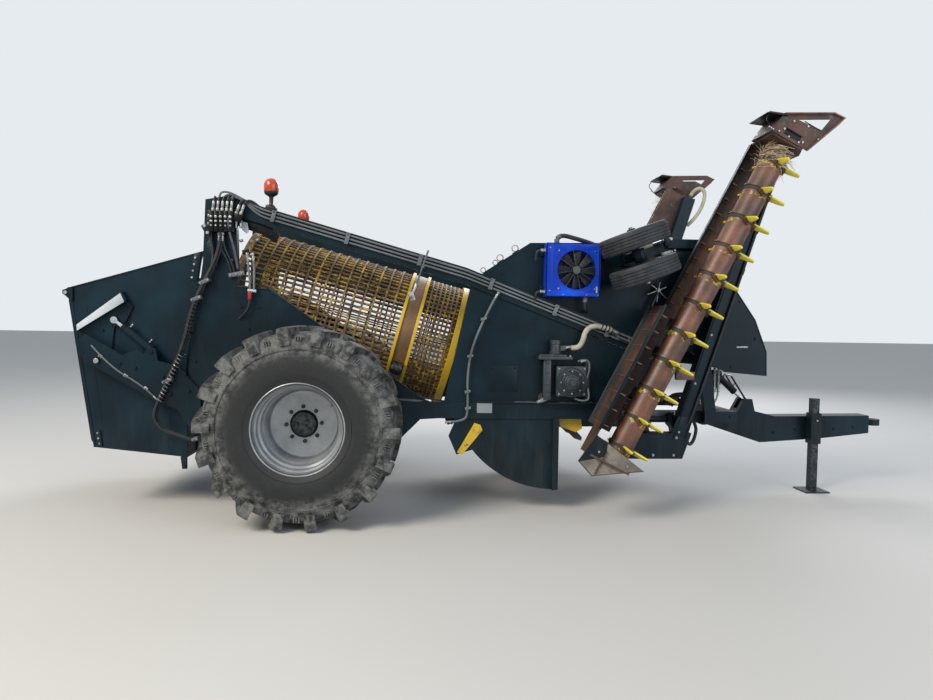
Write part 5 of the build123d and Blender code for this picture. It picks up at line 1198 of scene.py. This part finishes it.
class STONEPICKER_OT_rotor_drive(bpy.types.Operator):
    """Makes the ringed gearbox, its flange plate, motor, pillar and pipes"""
    bl_idname = "stone_picker.rotor_drive"
    bl_label = "Rotor drive"

    def execute(self, context):
        work = bmesh.new()
        block(work, (2192, -885, 1118), (262, 80, 262), 14)
        turned(work, ((0, 60), (26, 60), (30, 54), (30, 40), (44, 38), (48, 34), (48, 24), (62, 22), (66, 18), (66, 8),
                      (80, 6), (84, 2), (84, -12), (104, -14), (108, -20), (108, -70), (0, -70)), (2190, -940, 1112),
               OUT, 56, 0, False)
        for radius, seat in ((50, 962), (75, 944), (98, 926), (124, 924)):
            turned(work, ((radius - 5, 0), (radius + 5, 0), (radius + 2, 12), (radius - 2, 12)), (2190, -seat, 1112),
                   OUT, 48, 5)
        for k in range(8):
            way = clock(math.pi * k / 4)
            bolt(work, spot(2190, -953, 1112) + way * 0.095, OUT, 12, 7, 1)
        bolts(work, ((2084, 1010), (2300, 1010), (2300, 1226), (2084, 1226)), 925, 16, 9, 1)
        # flange plate, motor with its port block, and the pillar that carries them
        plate(work, [(1900, 1303), (2188, 1303), (2188, 1328), (1900, 1328)], 965, 120, 3)
        plate(work, [(1912, 1328), (2140, 1328), (2140, 1345), (1912, 1345)], 958, 106, 3)
        for x in (1918, 1990, 2100, 2172):
            bolt(work, (x, -948, 1328), UP, 15, 9, 1)
        turned(work, ((0, 0), (52, 0), (54, 4), (54, 22), (46, 26), (46, 84), (50, 88), (50, 118), (46, 122), (0, 122)),
               (2050, -915, 1345), UP, 32, 0, False)
        block(work, (2100, -918, 1400), (64, 48, 44), 4)
        fitting(work, (2132, -918, 1404), (1, 0, 0.1), 15, 52)
        plate(work, [(1950, 955), (2014, 960), (2012, 1303), (1948, 1303)], 938, 52, 4)
        for z in (1000, 1100, 1200, 1280):
            bar(work, (1981, -938, z), (1981, -944, z), 17, 16, round_mm=1)
        plate(work, [(1900, 930), (1985, 955), (2020, 985), (1960, 985), (1895, 945)], 930, 40, 3, 1)
        # bracket and pipe round the front of the gearbox
        plate(work, [(2318, 950), (2352, 950), (2352, 1290), (2318, 1290)], 900, 55)
        run(work, [(2240, -935, 1290), (2290, -935, 1310), (2340, -930, 1290), (2345, -925, 1220), (2330, -920, 1160),
                   (2320, -905, 1120)], 8, 4)
        fitting(work, (2262, -935, 1288), (1, 0, 0.2), 11, 44)
        run(work, [(2337, -912, 1060), (2345, -925, 1000), (2340, -925, 960), (2270, -925, 952), (2220, -915, 975)], 8,
            4)
        plate(work, [(1990, 925), (2360, 925), (2360, 936), (1990, 936)], 925, 60, 1, 2)
        # wrapped cream hose up to a pair of steel pipes under the rail
        run(work, [(2182, -918, 1404), (2240, -922, 1400), (2282, -925, 1460), (2296, -925, 1540), (2350, -922, 1592),
                   (2450, -905, 1586), (2545, -893, 1550)], 22, 3, 9)
        for k in range(4):
            way = Vector((0.94, 0.05, -0.33)).normalized()
            bar(work, spot(2440, -907, 1586) + way * 0.032 * k, spot(2440, -907, 1586) + way * (0.032 * k + 0.008), 25,
                20, 2)
        fitting(work, (2535, -895, 1554), (1, 0, -0.36), 17, 60)
        for drop in (0, 34):
            run(work, [(2585, -888, 1538 - drop), (2700, -884, 1495 - drop), (2862, -884, 1434 - drop)], 8.5, 4, 4)
        block(work, (2690, -876, 1482), (30, 22, 80), 3, 2, 0.36)
        bolt(work, (2690, -888, 1482), OUT, 14, 7, 1)
        looks = ("cast", "zinc", "frame_enamel", "cream_hose", "grey_enamel", "ring_enamel")
        piece("gearbox_motor_and_pillar", work, "chassis", looks, "grey_paint", ("rotor_drive",))
        return {"FINISHED"}


class STONEPICKER_OT_gauge_brackets(bpy.types.Operator):
    """Makes the wheel brackets with their adjusting rods and shackles"""
    bl_idname = "stone_picker.gauge_brackets"
    bl_label = "Gauge wheel brackets"

    def execute(self, context):
        along = clock(GAUGE_TILT)
        turn = -GAUGE_TILT
        for name, _ in SIDES:
            work = bmesh.new()
            centre = spot(*GAUGE_CENTRE)
            # fork plate between the wheels, and the arm that carries it from the inside
            block(work, centre + Vector((0, 0.16, 0)), (80, 300, 70), 6, 0, turn)
            bar(work, centre - GAUGE_AXIS * 0.052, centre + GAUGE_AXIS * 0.052, 52, 28, round_mm=4)
            for way in (-GAUGE_AXIS, GAUGE_AXIS):
                bar(work, centre + way * 0.214, centre + way * 0.224, 34, 24, round_mm=2)
                bolt(work, centre + way * 0.222, way, 30, 14, 1)
            # bright sleeve of the adjuster, its rod and its end lugs
            foot = spot(2722, -893, 2246)
            bar(work, foot, foot + along * 0.15, 25, 24, 3, round_mm=3)
            bar(work, foot + along * 0.15, foot + along * 0.245, 15, 20, 4)
            bar(work, foot + along * 0.236, foot + along * 0.262, 26, 24, 1, round_mm=3)
            block(work, foot - along * 0.018, (44, 52, 40), 4, 0, turn)
            block(work, foot + along * 0.275 - GAUGE_AXIS * 0.02, (50, 56, 84), 4, 0, turn)
            for reach in (-0.07, -0.03, 0.32):
                bar(work, foot + along * reach + mm(0, -30, -20),
                    foot + along * reach + mm(0, 50, -20), 12, 16, 1, round_mm=1)
            run(work, [foot + along * 0.02 + mm(0, -20, -30), foot - along * 0.05 + mm(0, -30, -90),
                       foot - along * 0.12 + mm(0, -20, -60), foot - along * 0.10], 6, 2, 5)
            # star shackle below and the rod that hangs from it
            star = spot(2932, -892, 1902)
            for angle in (0.4, 1.4, 2.5, 3.5, 4.6, 5.5):
                way = clock(angle)
                bar(work, star, star + way * (0.075 if angle < 3 else 0.098), 7, 10, 1, 5)
            bar(work, star + mm(0, -22, 0), star + mm(0, 45, 0), 17, 20, 1, round_mm=2)
            bar(work, star + mm(0, 0, -20), (2866, -890, 1742), 8, 14, 5)
            bar(work, (2932, -847, 1902), (2932, -800, 1960), 14, 16)
            block(work, (2985, -905, 2215), (90, 40, 34), 8, 1, turn)
            for step in (0, 1, 2):
                bolt(work, (3000 + 26 * step, -924, 2222 + 10 * step), OUT, 15, 8, 1)
            for reach in (0.05, 0.35, 0.65, 0.86):
                bolt(work, spot(2664, -845, 2165) + Vector((reach, 0, 0.01)), OUT, 20, 10, 1)
            looks = ("frame_enamel", "zinc", "hose", "cream_hose", "chrome", "grey_enamel")
            sided("gauge_bracket", work, "arm", name, looks)
        return {"FINISHED"}


class STONEPICKER_OT_arm_details(bpy.types.Operator):
    """Makes the guards' lips, the skids' braces, the heads' fittings, straps and bolts on each windrower"""
    bl_idname = "stone_picker.arm_details"
    bl_label = "Windrower details"

    def execute(self, context):
        frame_matrix = reel_frame()
        for name, sign in SIDES:
            work = bmesh.new()
            # lips of the wall and of the upper channel, in the reel's own axes
            for x, y, start, end, wide, deep, look in ((-262, -128, 190, 1304, 22, 16, 0),
                                                       (-262, 240, 200, 1300, 16, 12, 1),
                                                       (-153, 207, 1300, 2890, 20, 14, 0),
                                                       (145, 246, 1300, 2880, 12, 22, 1)):
                block(work, mm(x, y, (start + end) / 2), (wide, deep, end - start), 3, look)
            block(work, mm(-263, 196, 750), (3, 104, 1098), 0, 8)
            for level in range(240, 1290, 140):
                block(work, mm(-264, 8, level), (4, 268, 9), 0, 2)
                block(work, mm(-232, -60, level), (58, 130, 7), 1, 2)
                bolt(work, mm(-253, 120, level + 45), (1, 0, 0), 13, 7, 3)
            for level in range(1410, 2860, 140):
                block(work, mm(-128, 225, level), (60, 44, 7), 1, 2)
            # foot plate's bearing and the skid's braces
            for level, way in ((-28, -1), (2895, 1)):
                turned(work, ((31, 0), (62, 0), (66, 5), (66, 18), (52, 26), (31, 26)), mm(0, 0, level),
                       Vector((0, 0, way)), 28, 4)
                for k in range(4):
                    angle = math.pi * (k / 2 + 0.25)
                    bolt(work, Vector((0.09 * math.cos(angle), 0.09 * math.sin(angle), level / 1000)), (0, 0, way), 15,
                         8, 3)
            # head: lids that stand off the side plates, hooks, hinge pins and the straw that winds on the shaft
            block(work, mm(-205, -60, 3022), (168, 250, 8), 2, 5, -0.37)
            block(work, mm(-205, -60, 3034), (60, 22, 16), 3, 3, -0.37)
            run(work, [mm(-262, -175, 2985), mm(-275, -178, 2960), mm(-250, -180, 2925), mm(-205, -182, 2920)], 4, 5,
                4)
            for k in range(3):
                bolt(work, mm(-215 + 17 * k, -171, 2905), OUT, 12, 6, 3)
                bolt(work, mm(-130 + 90 * k, -171, 2914), OUT, 14, 7, 3)
            for lip in (((-157, 3060), (192, 3256), (292, 3262), (290, 3252), (194, 3246), (-150, 3052)),
                        ((148, 2894), (270, 3190), (292, 3262), (282, 3258), (258, 3194), (136, 2894))):
                prism(work, [mm(x, -168, z) for x, z in lip], mm(0, -22, 0), 1, 2)
            for x, z, wide, high in ((-15, 2922, 150, 6), (-15, 2968, 150, 6), (90, 3082, 150, 6)):
                block(work, mm(x, -171, z), (wide, 6, high), 1, 5)
            block(work, mm(-15, -158, 2945), (146, 4, 44), 0, 5)
            for x, z in ((-100, 2950), (80, 2930), (180, 3010), (60, 3060), (-60, 3040)):
                bolt(work, mm(x, -170, z), OUT, 16, 8, 3)
            random.seed(11)
            for k in range(150):
                level = random.gauss(2.775, 0.055)
                angle = random.uniform(0, 2 * math.pi)
                reach = random.uniform(0.098, 0.118)
                first = Vector((reach * math.cos(angle), reach * math.sin(angle), min(level, 2.855)))
                spin = angle + random.uniform(0.5, 1.3)
                out = random.uniform(0.1, 0.19)
                rise = random.uniform(-0.05, 0.05)
                last = Vector((out * math.cos(spin), out * math.sin(spin), min(level + rise, 2.86)))
                bar(work, first, last, random.uniform(1.4, 3.0), 5, 6, 1.0)
            bmesh.ops.transform(work, matrix=frame_matrix, verts=work.verts[:])
            # braces between the foot and the skid, its dark outer face, and bolts along it
            plate(work, [(2165, 525), (2310, 735), (2400, 667), (2388, 560)], 1347.5, 3, 0)
            plate(work, [(2177, 523), (2388, 560), (2400, 667), (2690, 446), (2278, 413)], 1347.5, 3, 0, 7)
            bar(work, (2398, -1352, 600), (2300, -1352, 425), 7, 12, 1)
            bar(work, (2375, -1300, 556), (2246, -1332, 436), 8, 12, 2)
            bar(work, (2300, -1333, 726), (2640, -1300, 470), 7, 12, 2)
            bolts(work, ((2330, 600), (2450, 545), (2560, 480), (2300, 470)), 1345, 16, 8, 3)
            looks = ("frame_enamel", "guard_steel", "rib_steel", "zinc", "dark_zinc", "black_enamel", "straw",
                     "dusty_plate", "ring_enamel")
            sided("guard_lips_and_head", work, "arm", name, looks)

            work = bmesh.new()
            # strut to the channel, edge straps down the beam and plates at its foot
            plate(work, [(3064, 1216), (3232, 1216), (3226, 1146), (3070, 1146)], 1000, 40, 3, 1)
            for x, z, far, high in ((3070, 640, 3826, 2990), (3172, 640, 3912, 2970)):
                plate(work, [(x, z), (x + 13, z), (far + 13, high), (far, high)], 955, -7, 1)
            bolts(work, [(3120 + 130 * k, 700 + 415 * k) for k in range(6)], 955, 18, 9, 2)
            bolts(work, ((2680, 500), (2680, 650), (2900, 500), (3080, 500), (3100, 650)), 955, 20, 10, 2)
            plate(work, [(2660, 672), (3160, 672), (3180, 687), (2660, 687)], 958, 12, 1)
            plate(work, [(3050, 687), (3140, 687), (3180, 830), (3110, 830)], 960, 6)
            # hose along the beam to the reel's motor at the head
            run(work, [(3180, -940, 720), (3215, -965, 800), (3330, -972, 1150), (3560, -972, 1850), (3830, -972, 2700),
                       (3880, -975, 2830)], 11, 3)
            for k in range(5):
                block(work, (3290 + 115 * k, -964, 1020 + 350 * k), (52, 20, 22), 2, 0, -1.26)
            if sign > 0:
                run(work, [(3868, -905, 2712), (3960, -890, 2800), (4040, -890, 2960), (4062, -900, 3090),
                           (4010, -925, 3140), (3950, -960, 3110), (3930, -985, 3060)], 20, 4, 9)
            looks = ("frame_enamel", "rib_steel", "zinc", "hose", "cream_hose")
            sided("arm_straps_and_hose", work, "arm", name, looks)
        return {"FINISHED"}


class STONEPICKER_OT_hopper_details(bpy.types.Operator):
    """Makes the hopper's folded edges, straps, bosses and bolts, and the tailgate's hinge caps and latch"""
    bl_idname = "stone_picker.hopper_details"
    bl_label = "Hopper details"

    def execute(self, context):
        work = bmesh.new()
        # folded edges of the side wall and the strip bolted down its front corner
        for corners in (((-1962, 1838), (-885, 2160), (-887, 2148), (-1960, 1826)),
                        ((-1765, 520), (-1016, 438), (-1017, 450), (-1767, 532)),
                        ((-1016, 438), (-1032, 1190), (-1041, 1190), (-1025, 438)),
                        ((-1962, 1830), (-1765, 520), (-1757, 522), (-1954, 1830))):
            plate(work, corners, 785, 6, 1)
        plate(work, [(-962, 2131), (-906, 2147), (-938, 1909), (-1000, 1915)], 788, 9, 1)
        bolts(work, [(-952 - 9 * k, 2100 - 54 * k) for k in range(4)], 788, 17, 8, 1)
        # pale plate on the bracket's folded strip, its near white being the strip's own light grey with painted
        # sunlight on its top face; the bolts beneath and the boss beside the ram's eye
        plate(work, [(-1872, 1534), (-1528, 1796), (-1497, 1725), (-1870, 1484)], 859, 5, 1, 2)
        bolts(work, ((-1694, 1493), (-1619, 1540), (-1700, 1590), (-1530, 1690), (-1740, 1290), (-1660, 1260)), 800, 20,
              10)
        bar(work, (-1845, -780, 1385), (-1845, -838, 1385), 30, 28, round_mm=3)
        bolt(work, (-1845, -838, 1385), OUT, 24, 12, 1)
        # channel at the low rear corner, the stop below the front and two seams
        plate(work, [(-1755, 668), (-1722, 668), (-1702, 524), (-1738, 528)], 796, 15)
        bolts(work, [(-1738 + 7 * k, 640 - 44 * k) for k in range(3)], 796, 14, 7, 1)
        plate(work, [(-1074, 442), (-1020, 438), (-1020, 340), (-1060, 340)], 792, 18)
        bolt(work, (-1042, -792, 372), OUT, 18, 9)
        bar(work, (-1700, -779, 640), (-1840, -779, 1790), 3, 6)
        bar(work, (-1180, -779, 500), (-1130, -779, 1100), 3, 6)
        twin(work)
        for y in (-520, 0, 520):
            block(work, (-1012, y, 560), (10, 60, 210))
            block(work, (-1390, y, 470), (700, 60, 14), 2, 0, 0.109)
        piece("hopper_straps_and_bosses", work, "hopper", ("hopper_enamel", "zinc", "white_plate"))

        work = bmesh.new()
        for sign in (-1, 1):
            bolt(work, (-1985, sign * 799, 1795), (0, sign, 0), 26, 10, 1)
            bar(work, (-1800, sign * 660, 640), (-1812, sign * 560, 640), 12, 16, 1, round_mm=2)
            block(work, (-1790, sign * 610, 640), (24, 60, 80), 3, 0, 0.149)
            for z in (612, 668):
                bolt(work, (-1800, sign * 610, z), (-1, 0, -0.15), 16, 8)
        piece("gate_latches_and_hinge_caps", work, "tailgate", ("hopper_enamel", "zinc"))
        return {"FINISHED"}


class STONEPICKER_OT_frame_details(bpy.types.Operator):
    """Makes the flanges, gussets, blank plates and bolts of the side frames, brackets and front frame"""
    bl_idname = "stone_picker.frame_details"
    bl_label = "Frame details"

    def execute(self, context):
        work = bmesh.new()
        # flange down the arch and along the beam; its two grey stretches where it levels out are painted highlight
        # along the beam's top
        for x, z, far, low, look in ((-590, 1862, -327, 1843, 0), (-327, 1843, 640, 1158, 0), (640, 1158, 916, 962, 0),
                                     (916, 962, 1160, 925, 0), (1400, 925, 2600, 925, 0),
                                     (1720, 929, 1960, 929, 4), (2110, 929, 2390, 929, 4)):
            along = mm(far - x, 0, low - z)
            middle = spot((x + far) / 2, -850, (z + low) / 2 + 3)
            block(work, middle, (along.length * 1000, 48, 9), 1, look, math.atan2(-along.z, along.x))
        plate(work, [(656, 950), (700, 957), (900, 946), (949, 938), (900, 930), (700, 944)], 867, 3, 0, 4)
        # strut between the column and the drum's rear, and its bolts
        plate(work, [(-600, 2450), (-400, 2385), (-265, 2305), (-296, 2236), (-420, 2306), (-600, 2366)], 840, 60, 3, 3)
        bolts(work, ((-560, 2398), (-460, 2362), (-330, 2300)), 840, 20, 10)
        bolts(work, ((-800, 2480), (-700, 2500), (-820, 2280), (-660, 2260), (-560, 1700), (-420, 1700), (-860, 760),
                     (-500, 1520), (-960, 1480), (-930, 1250)), 865, 20, 9)
        # rear bracket: tip pin's cap and bolts
        bar(work, (-1700, -905, 1245), (-1700, -911, 1245), 21, 24, 1, round_mm=2)
        bolts(work, ((-1004, 1144), (-973, 1005), (-1272, 1319), (-1180, 1120), (-1120, 980), (-1520, 1225),
                     (-1400, 1190), (-930, 760)), 890.5, 22, 11)
        # bolts of the body panel and its inspection lid
        plate(work, [(1500, 1020), (1740, 1020), (1740, 1240), (1500, 1240)], 849, 5)
        bolts(work, ((1518, 1038), (1722, 1038), (1722, 1222), (1518, 1222), (1300, 980), (2440, 975), (2560, 1000)),
              848, 15, 7)
        # galvanised cover on the hinge's beam, and the front frame's bolts
        plate(work, [(2884, 846), (3188, 846), (3188, 744), (2884, 744)], 688, 8, 1, 5)
        bolts(work, ((2904, 826), (3168, 826), (2904, 764), (3168, 764)), 688, 15, 7)
        for x in (3260, 3380, 3560, 3700):
            bolt(work, (x, -680, 790), OUT, 20, 10)
        twin(work)
        for x, z in ((1408, 912), (1517, 912), (1517, 848), (1408, 848)):
            bar(work, (x, -865, z), (x, -869, z), 3, 10, 1)
        plate(work, [(1398, 922), (1527, 922), (1527, 838), (1398, 838)], 867, 2, 0, 2)
        looks = ("frame_enamel", "zinc", "blank_plate", "black_enamel", "grey_enamel", "speckled_zinc")
        piece("flanges_gussets_and_bolts", work, "chassis", looks)
        return {"FINISHED"}


class STONEPICKER_OT_hood_details(bpy.types.Operator):
    """Makes the hood's lifting rings, folds and lid, and the pipes and hoses in front of it"""
    bl_idname = "stone_picker.hood_details"
    bl_label = "Hood details"

    def execute(self, context):
        work = bmesh.new()
        for x, z in ((1588, 2130), (1716, 2213)):
            block(work, (x, -760, z), (60, 40, 9), 2, 0, -0.58)
            turned(work, ((22, -5), (22, 5), (31, 5), (31, -5)), (x - 4, -760, z + 30), OUT, 24, 1)
        # folds along the side's edges
        edge = ((1440, 2030), (1837, 2290), (3330, 2326), (3638, 1959), (3847, 1665), (3958, 1385), (3965, 1172),
                (3582, 1204), (3270, 1376), (2900, 1430), (2344, 1640), (1440, 1985))
        for first, last in zip(edge, edge[1:]):
            middle = Vector((2700, 1850))
            inner = [Vector(p).lerp(middle, 14 / (middle - Vector(p)).length) for p in (last, first)]
            plate(work, [first, last, tuple(inner[0]), tuple(inner[1])], 793.5, 5, 1)
        plate(work, [(3683, 1431), (3783, 1434), (3783, 1420), (3683, 1417)], 794, 5, 0, 2)
        bolts(work, ((1900, 2250), (2500, 2272), (3050, 2286), (3290, 2290), (3500, 2080), (3700, 1820), (3850, 1500),
                     (3640, 1250), (3100, 1440), (2600, 1590), (2000, 1810), (1600, 2020)), 789.7, 16, 8)
        twin(work)
        # hinged lid on top
        block(work, (2560, 0, 2313), (700, 1100, 12), 3, 0, -0.024)
        for y in (-380, 380):
            bar(work, (2206, y - 60, 2309), (2206, y + 60, 2309), 10, 16, 1, round_mm=1)
        run(work, [(2860, -80, 2322), (2864, -70, 2352), (2864, 70, 2352), (2860, 80, 2322)], 7, 1, 5)
        piece("hood_rings_folds_and_lid", work, "chassis", ("body_enamel", "zinc", "white_plate"))

        work = bmesh.new()
        for shift, low in ((0, (3435, 800)), (36, (3517, 846))):
            run(work, [(3566 + shift, -620, 1400), (3568 + shift, -620, 1180), (3570 + shift, -620, 965),
                       ((3570 + shift + low[0]) / 2, -620, 900), (low[0], -620, low[1])], 9)
            for z in (1330, 1180, 1010):
                fitting(work, (3568 + shift, -620, z), UP, 12, 46, 0, 0)
        block(work, (3586, -606, 1090), (80, 30, 26), 3, 2)
        run(work, [(3371, -640, 755), (3402, -640, 700), (3402, -640, 640), (3378, -640, 560), (3345, -640, 530),
                   (3315, -640, 570), (3305, -640, 650), (3312, -640, 752)], 15, 1, 8)
        for k in range(4):
            top = spot(3640, -250 + 60 * k, 842)
            run(work, [(3300, -300 + 60 * k, 836), (3330, -300 + 60 * k, 930), (3480, -280 + 60 * k, 950),
                       (3640, -250 + 60 * k, 930), top], 9, 1, 5)
            fitting(work, top, UP, 11, 50, 0, 0)
        piece("front_hoses_and_pipes", work, "chassis", ("zinc", "hose", "frame_enamel"))
        return {"FINISHED"}


class STONEPICKER_OT_drawbar_details(bpy.types.Operator):
    """Makes the drawbar's collar, seams and pins, the jack's crank and the bars round the lift ram"""
    bl_idname = "stone_picker.drawbar_details"
    bl_label = "Drawbar details"

    def execute(self, context):
        work = bmesh.new()
        for sign in (-1, 1):
            bar(work, (3690, sign * 88, 690), (3690, sign * 112, 690), 44, 28, round_mm=3)
            lower = ((3700, 671), (4278, 468), (4900, 511), (5360, 566))
            for (x, z), (far, high) in zip(lower, lower[1:]):
                bar(work, (x, sign * 90, z), (far, sign * 90, high), 4, 6)
            for x, z in ((4420, 560), (4640, 590), (5040, 600), (5240, 620)):
                bolt(work, (x, sign * 90, z), (0, sign, 0), 20, 10)
        block(work, (4780, -170, 640), (96, 96, 12))
        bar(work, (4780, -238, 700), (4780, -222, 700), 9, 16, 1, round_mm=1)
        piece("drawbar_seams_and_pins", work, "drawbar", ("frame_enamel", "zinc"))

        work = bmesh.new()
        foot, far = spot(3977, 0, 1119), spot(4150, 0, 860)
        for y in (-62, 62):
            bar(work, foot + mm(0, y, 0), far + mm(0, y, 0), 9)
        bar(work, foot + mm(0, -74, 0), foot + mm(0, 74, 0), 7, 12, 1)
        bar(work, far + mm(0, -74, 0), far + mm(0, 74, 0), 10, 12, 1)
        piece("lift_ram_stop", work, "lift_rod", ("black_enamel", "zinc"))
        return {"FINISHED"}


class STONEPICKER_PT_panel(bpy.types.Panel):
    """Lists the sizes, colours and steps of the dressing"""
    bl_idname = "STONEPICKER_PT_panel"
    bl_label = "Stone picker"
    bl_space_type = "VIEW_3D"
    bl_region_type = "UI"
    bl_category = "Stone picker"

    def draw(self, context):
        for group, _ in GROUPS:
            box = self.layout.box()
            values = getattr(context.scene, group)
            for name in values.bl_rna.properties.keys():
                if name not in ("rna_type", "name"):
                    box.prop(values, name)
        for operator in OPERATORS:
            self.layout.operator(operator.bl_idname)


GROUPS = (
    ("stone_picker_colours", StonePickerColours),
    ("stone_picker_wheels", StonePickerWheels),
    ("stone_picker_drum", StonePickerDrum),
    ("stone_picker_reels", StonePickerReels),
    ("stone_picker_stage", StonePickerStage),
)
OPERATORS = (
    STONEPICKER_OT_finishes,
    STONEPICKER_OT_stage,
    STONEPICKER_OT_road_wheels,
    STONEPICKER_OT_sieve_drum,
    STONEPICKER_OT_reels,
    STONEPICKER_OT_gauge_wheels,
    STONEPICKER_OT_valve_bank,
    STONEPICKER_OT_rail_lines,
    STONEPICKER_OT_hose_lines,
    STONEPICKER_OT_ram_details,
    STONEPICKER_OT_beacons,
    STONEPICKER_OT_oil_cooler,
    STONEPICKER_OT_rotor_drive,
    STONEPICKER_OT_gauge_brackets,
    STONEPICKER_OT_arm_details,
    STONEPICKER_OT_hopper_details,
    STONEPICKER_OT_frame_details,
    STONEPICKER_OT_hood_details,
    STONEPICKER_OT_drawbar_details,
)


def register():
    """Registers the property groups, operators and panel."""
    for name, group in GROUPS:
        bpy.utils.register_class(group)
        setattr(bpy.types.Scene, name, PointerProperty(type=group))
    for operator in OPERATORS:
        bpy.utils.register_class(operator)
    bpy.utils.register_class(STONEPICKER_PT_panel)


def unregister():
    """Takes them away again."""
    bpy.utils.unregister_class(STONEPICKER_PT_panel)
    for operator in reversed(OPERATORS):
        bpy.utils.unregister_class(operator)
    for name, group in reversed(GROUPS):
        delattr(bpy.types.Scene, name)
        bpy.utils.unregister_class(group)


def main():
    """Runs every step in order."""
    register()
    for operator in OPERATORS:
        step = operator.bl_idname.split(".")[1]
        getattr(bpy.ops.stone_picker, step)()


if __name__ == "__main__":
    main()
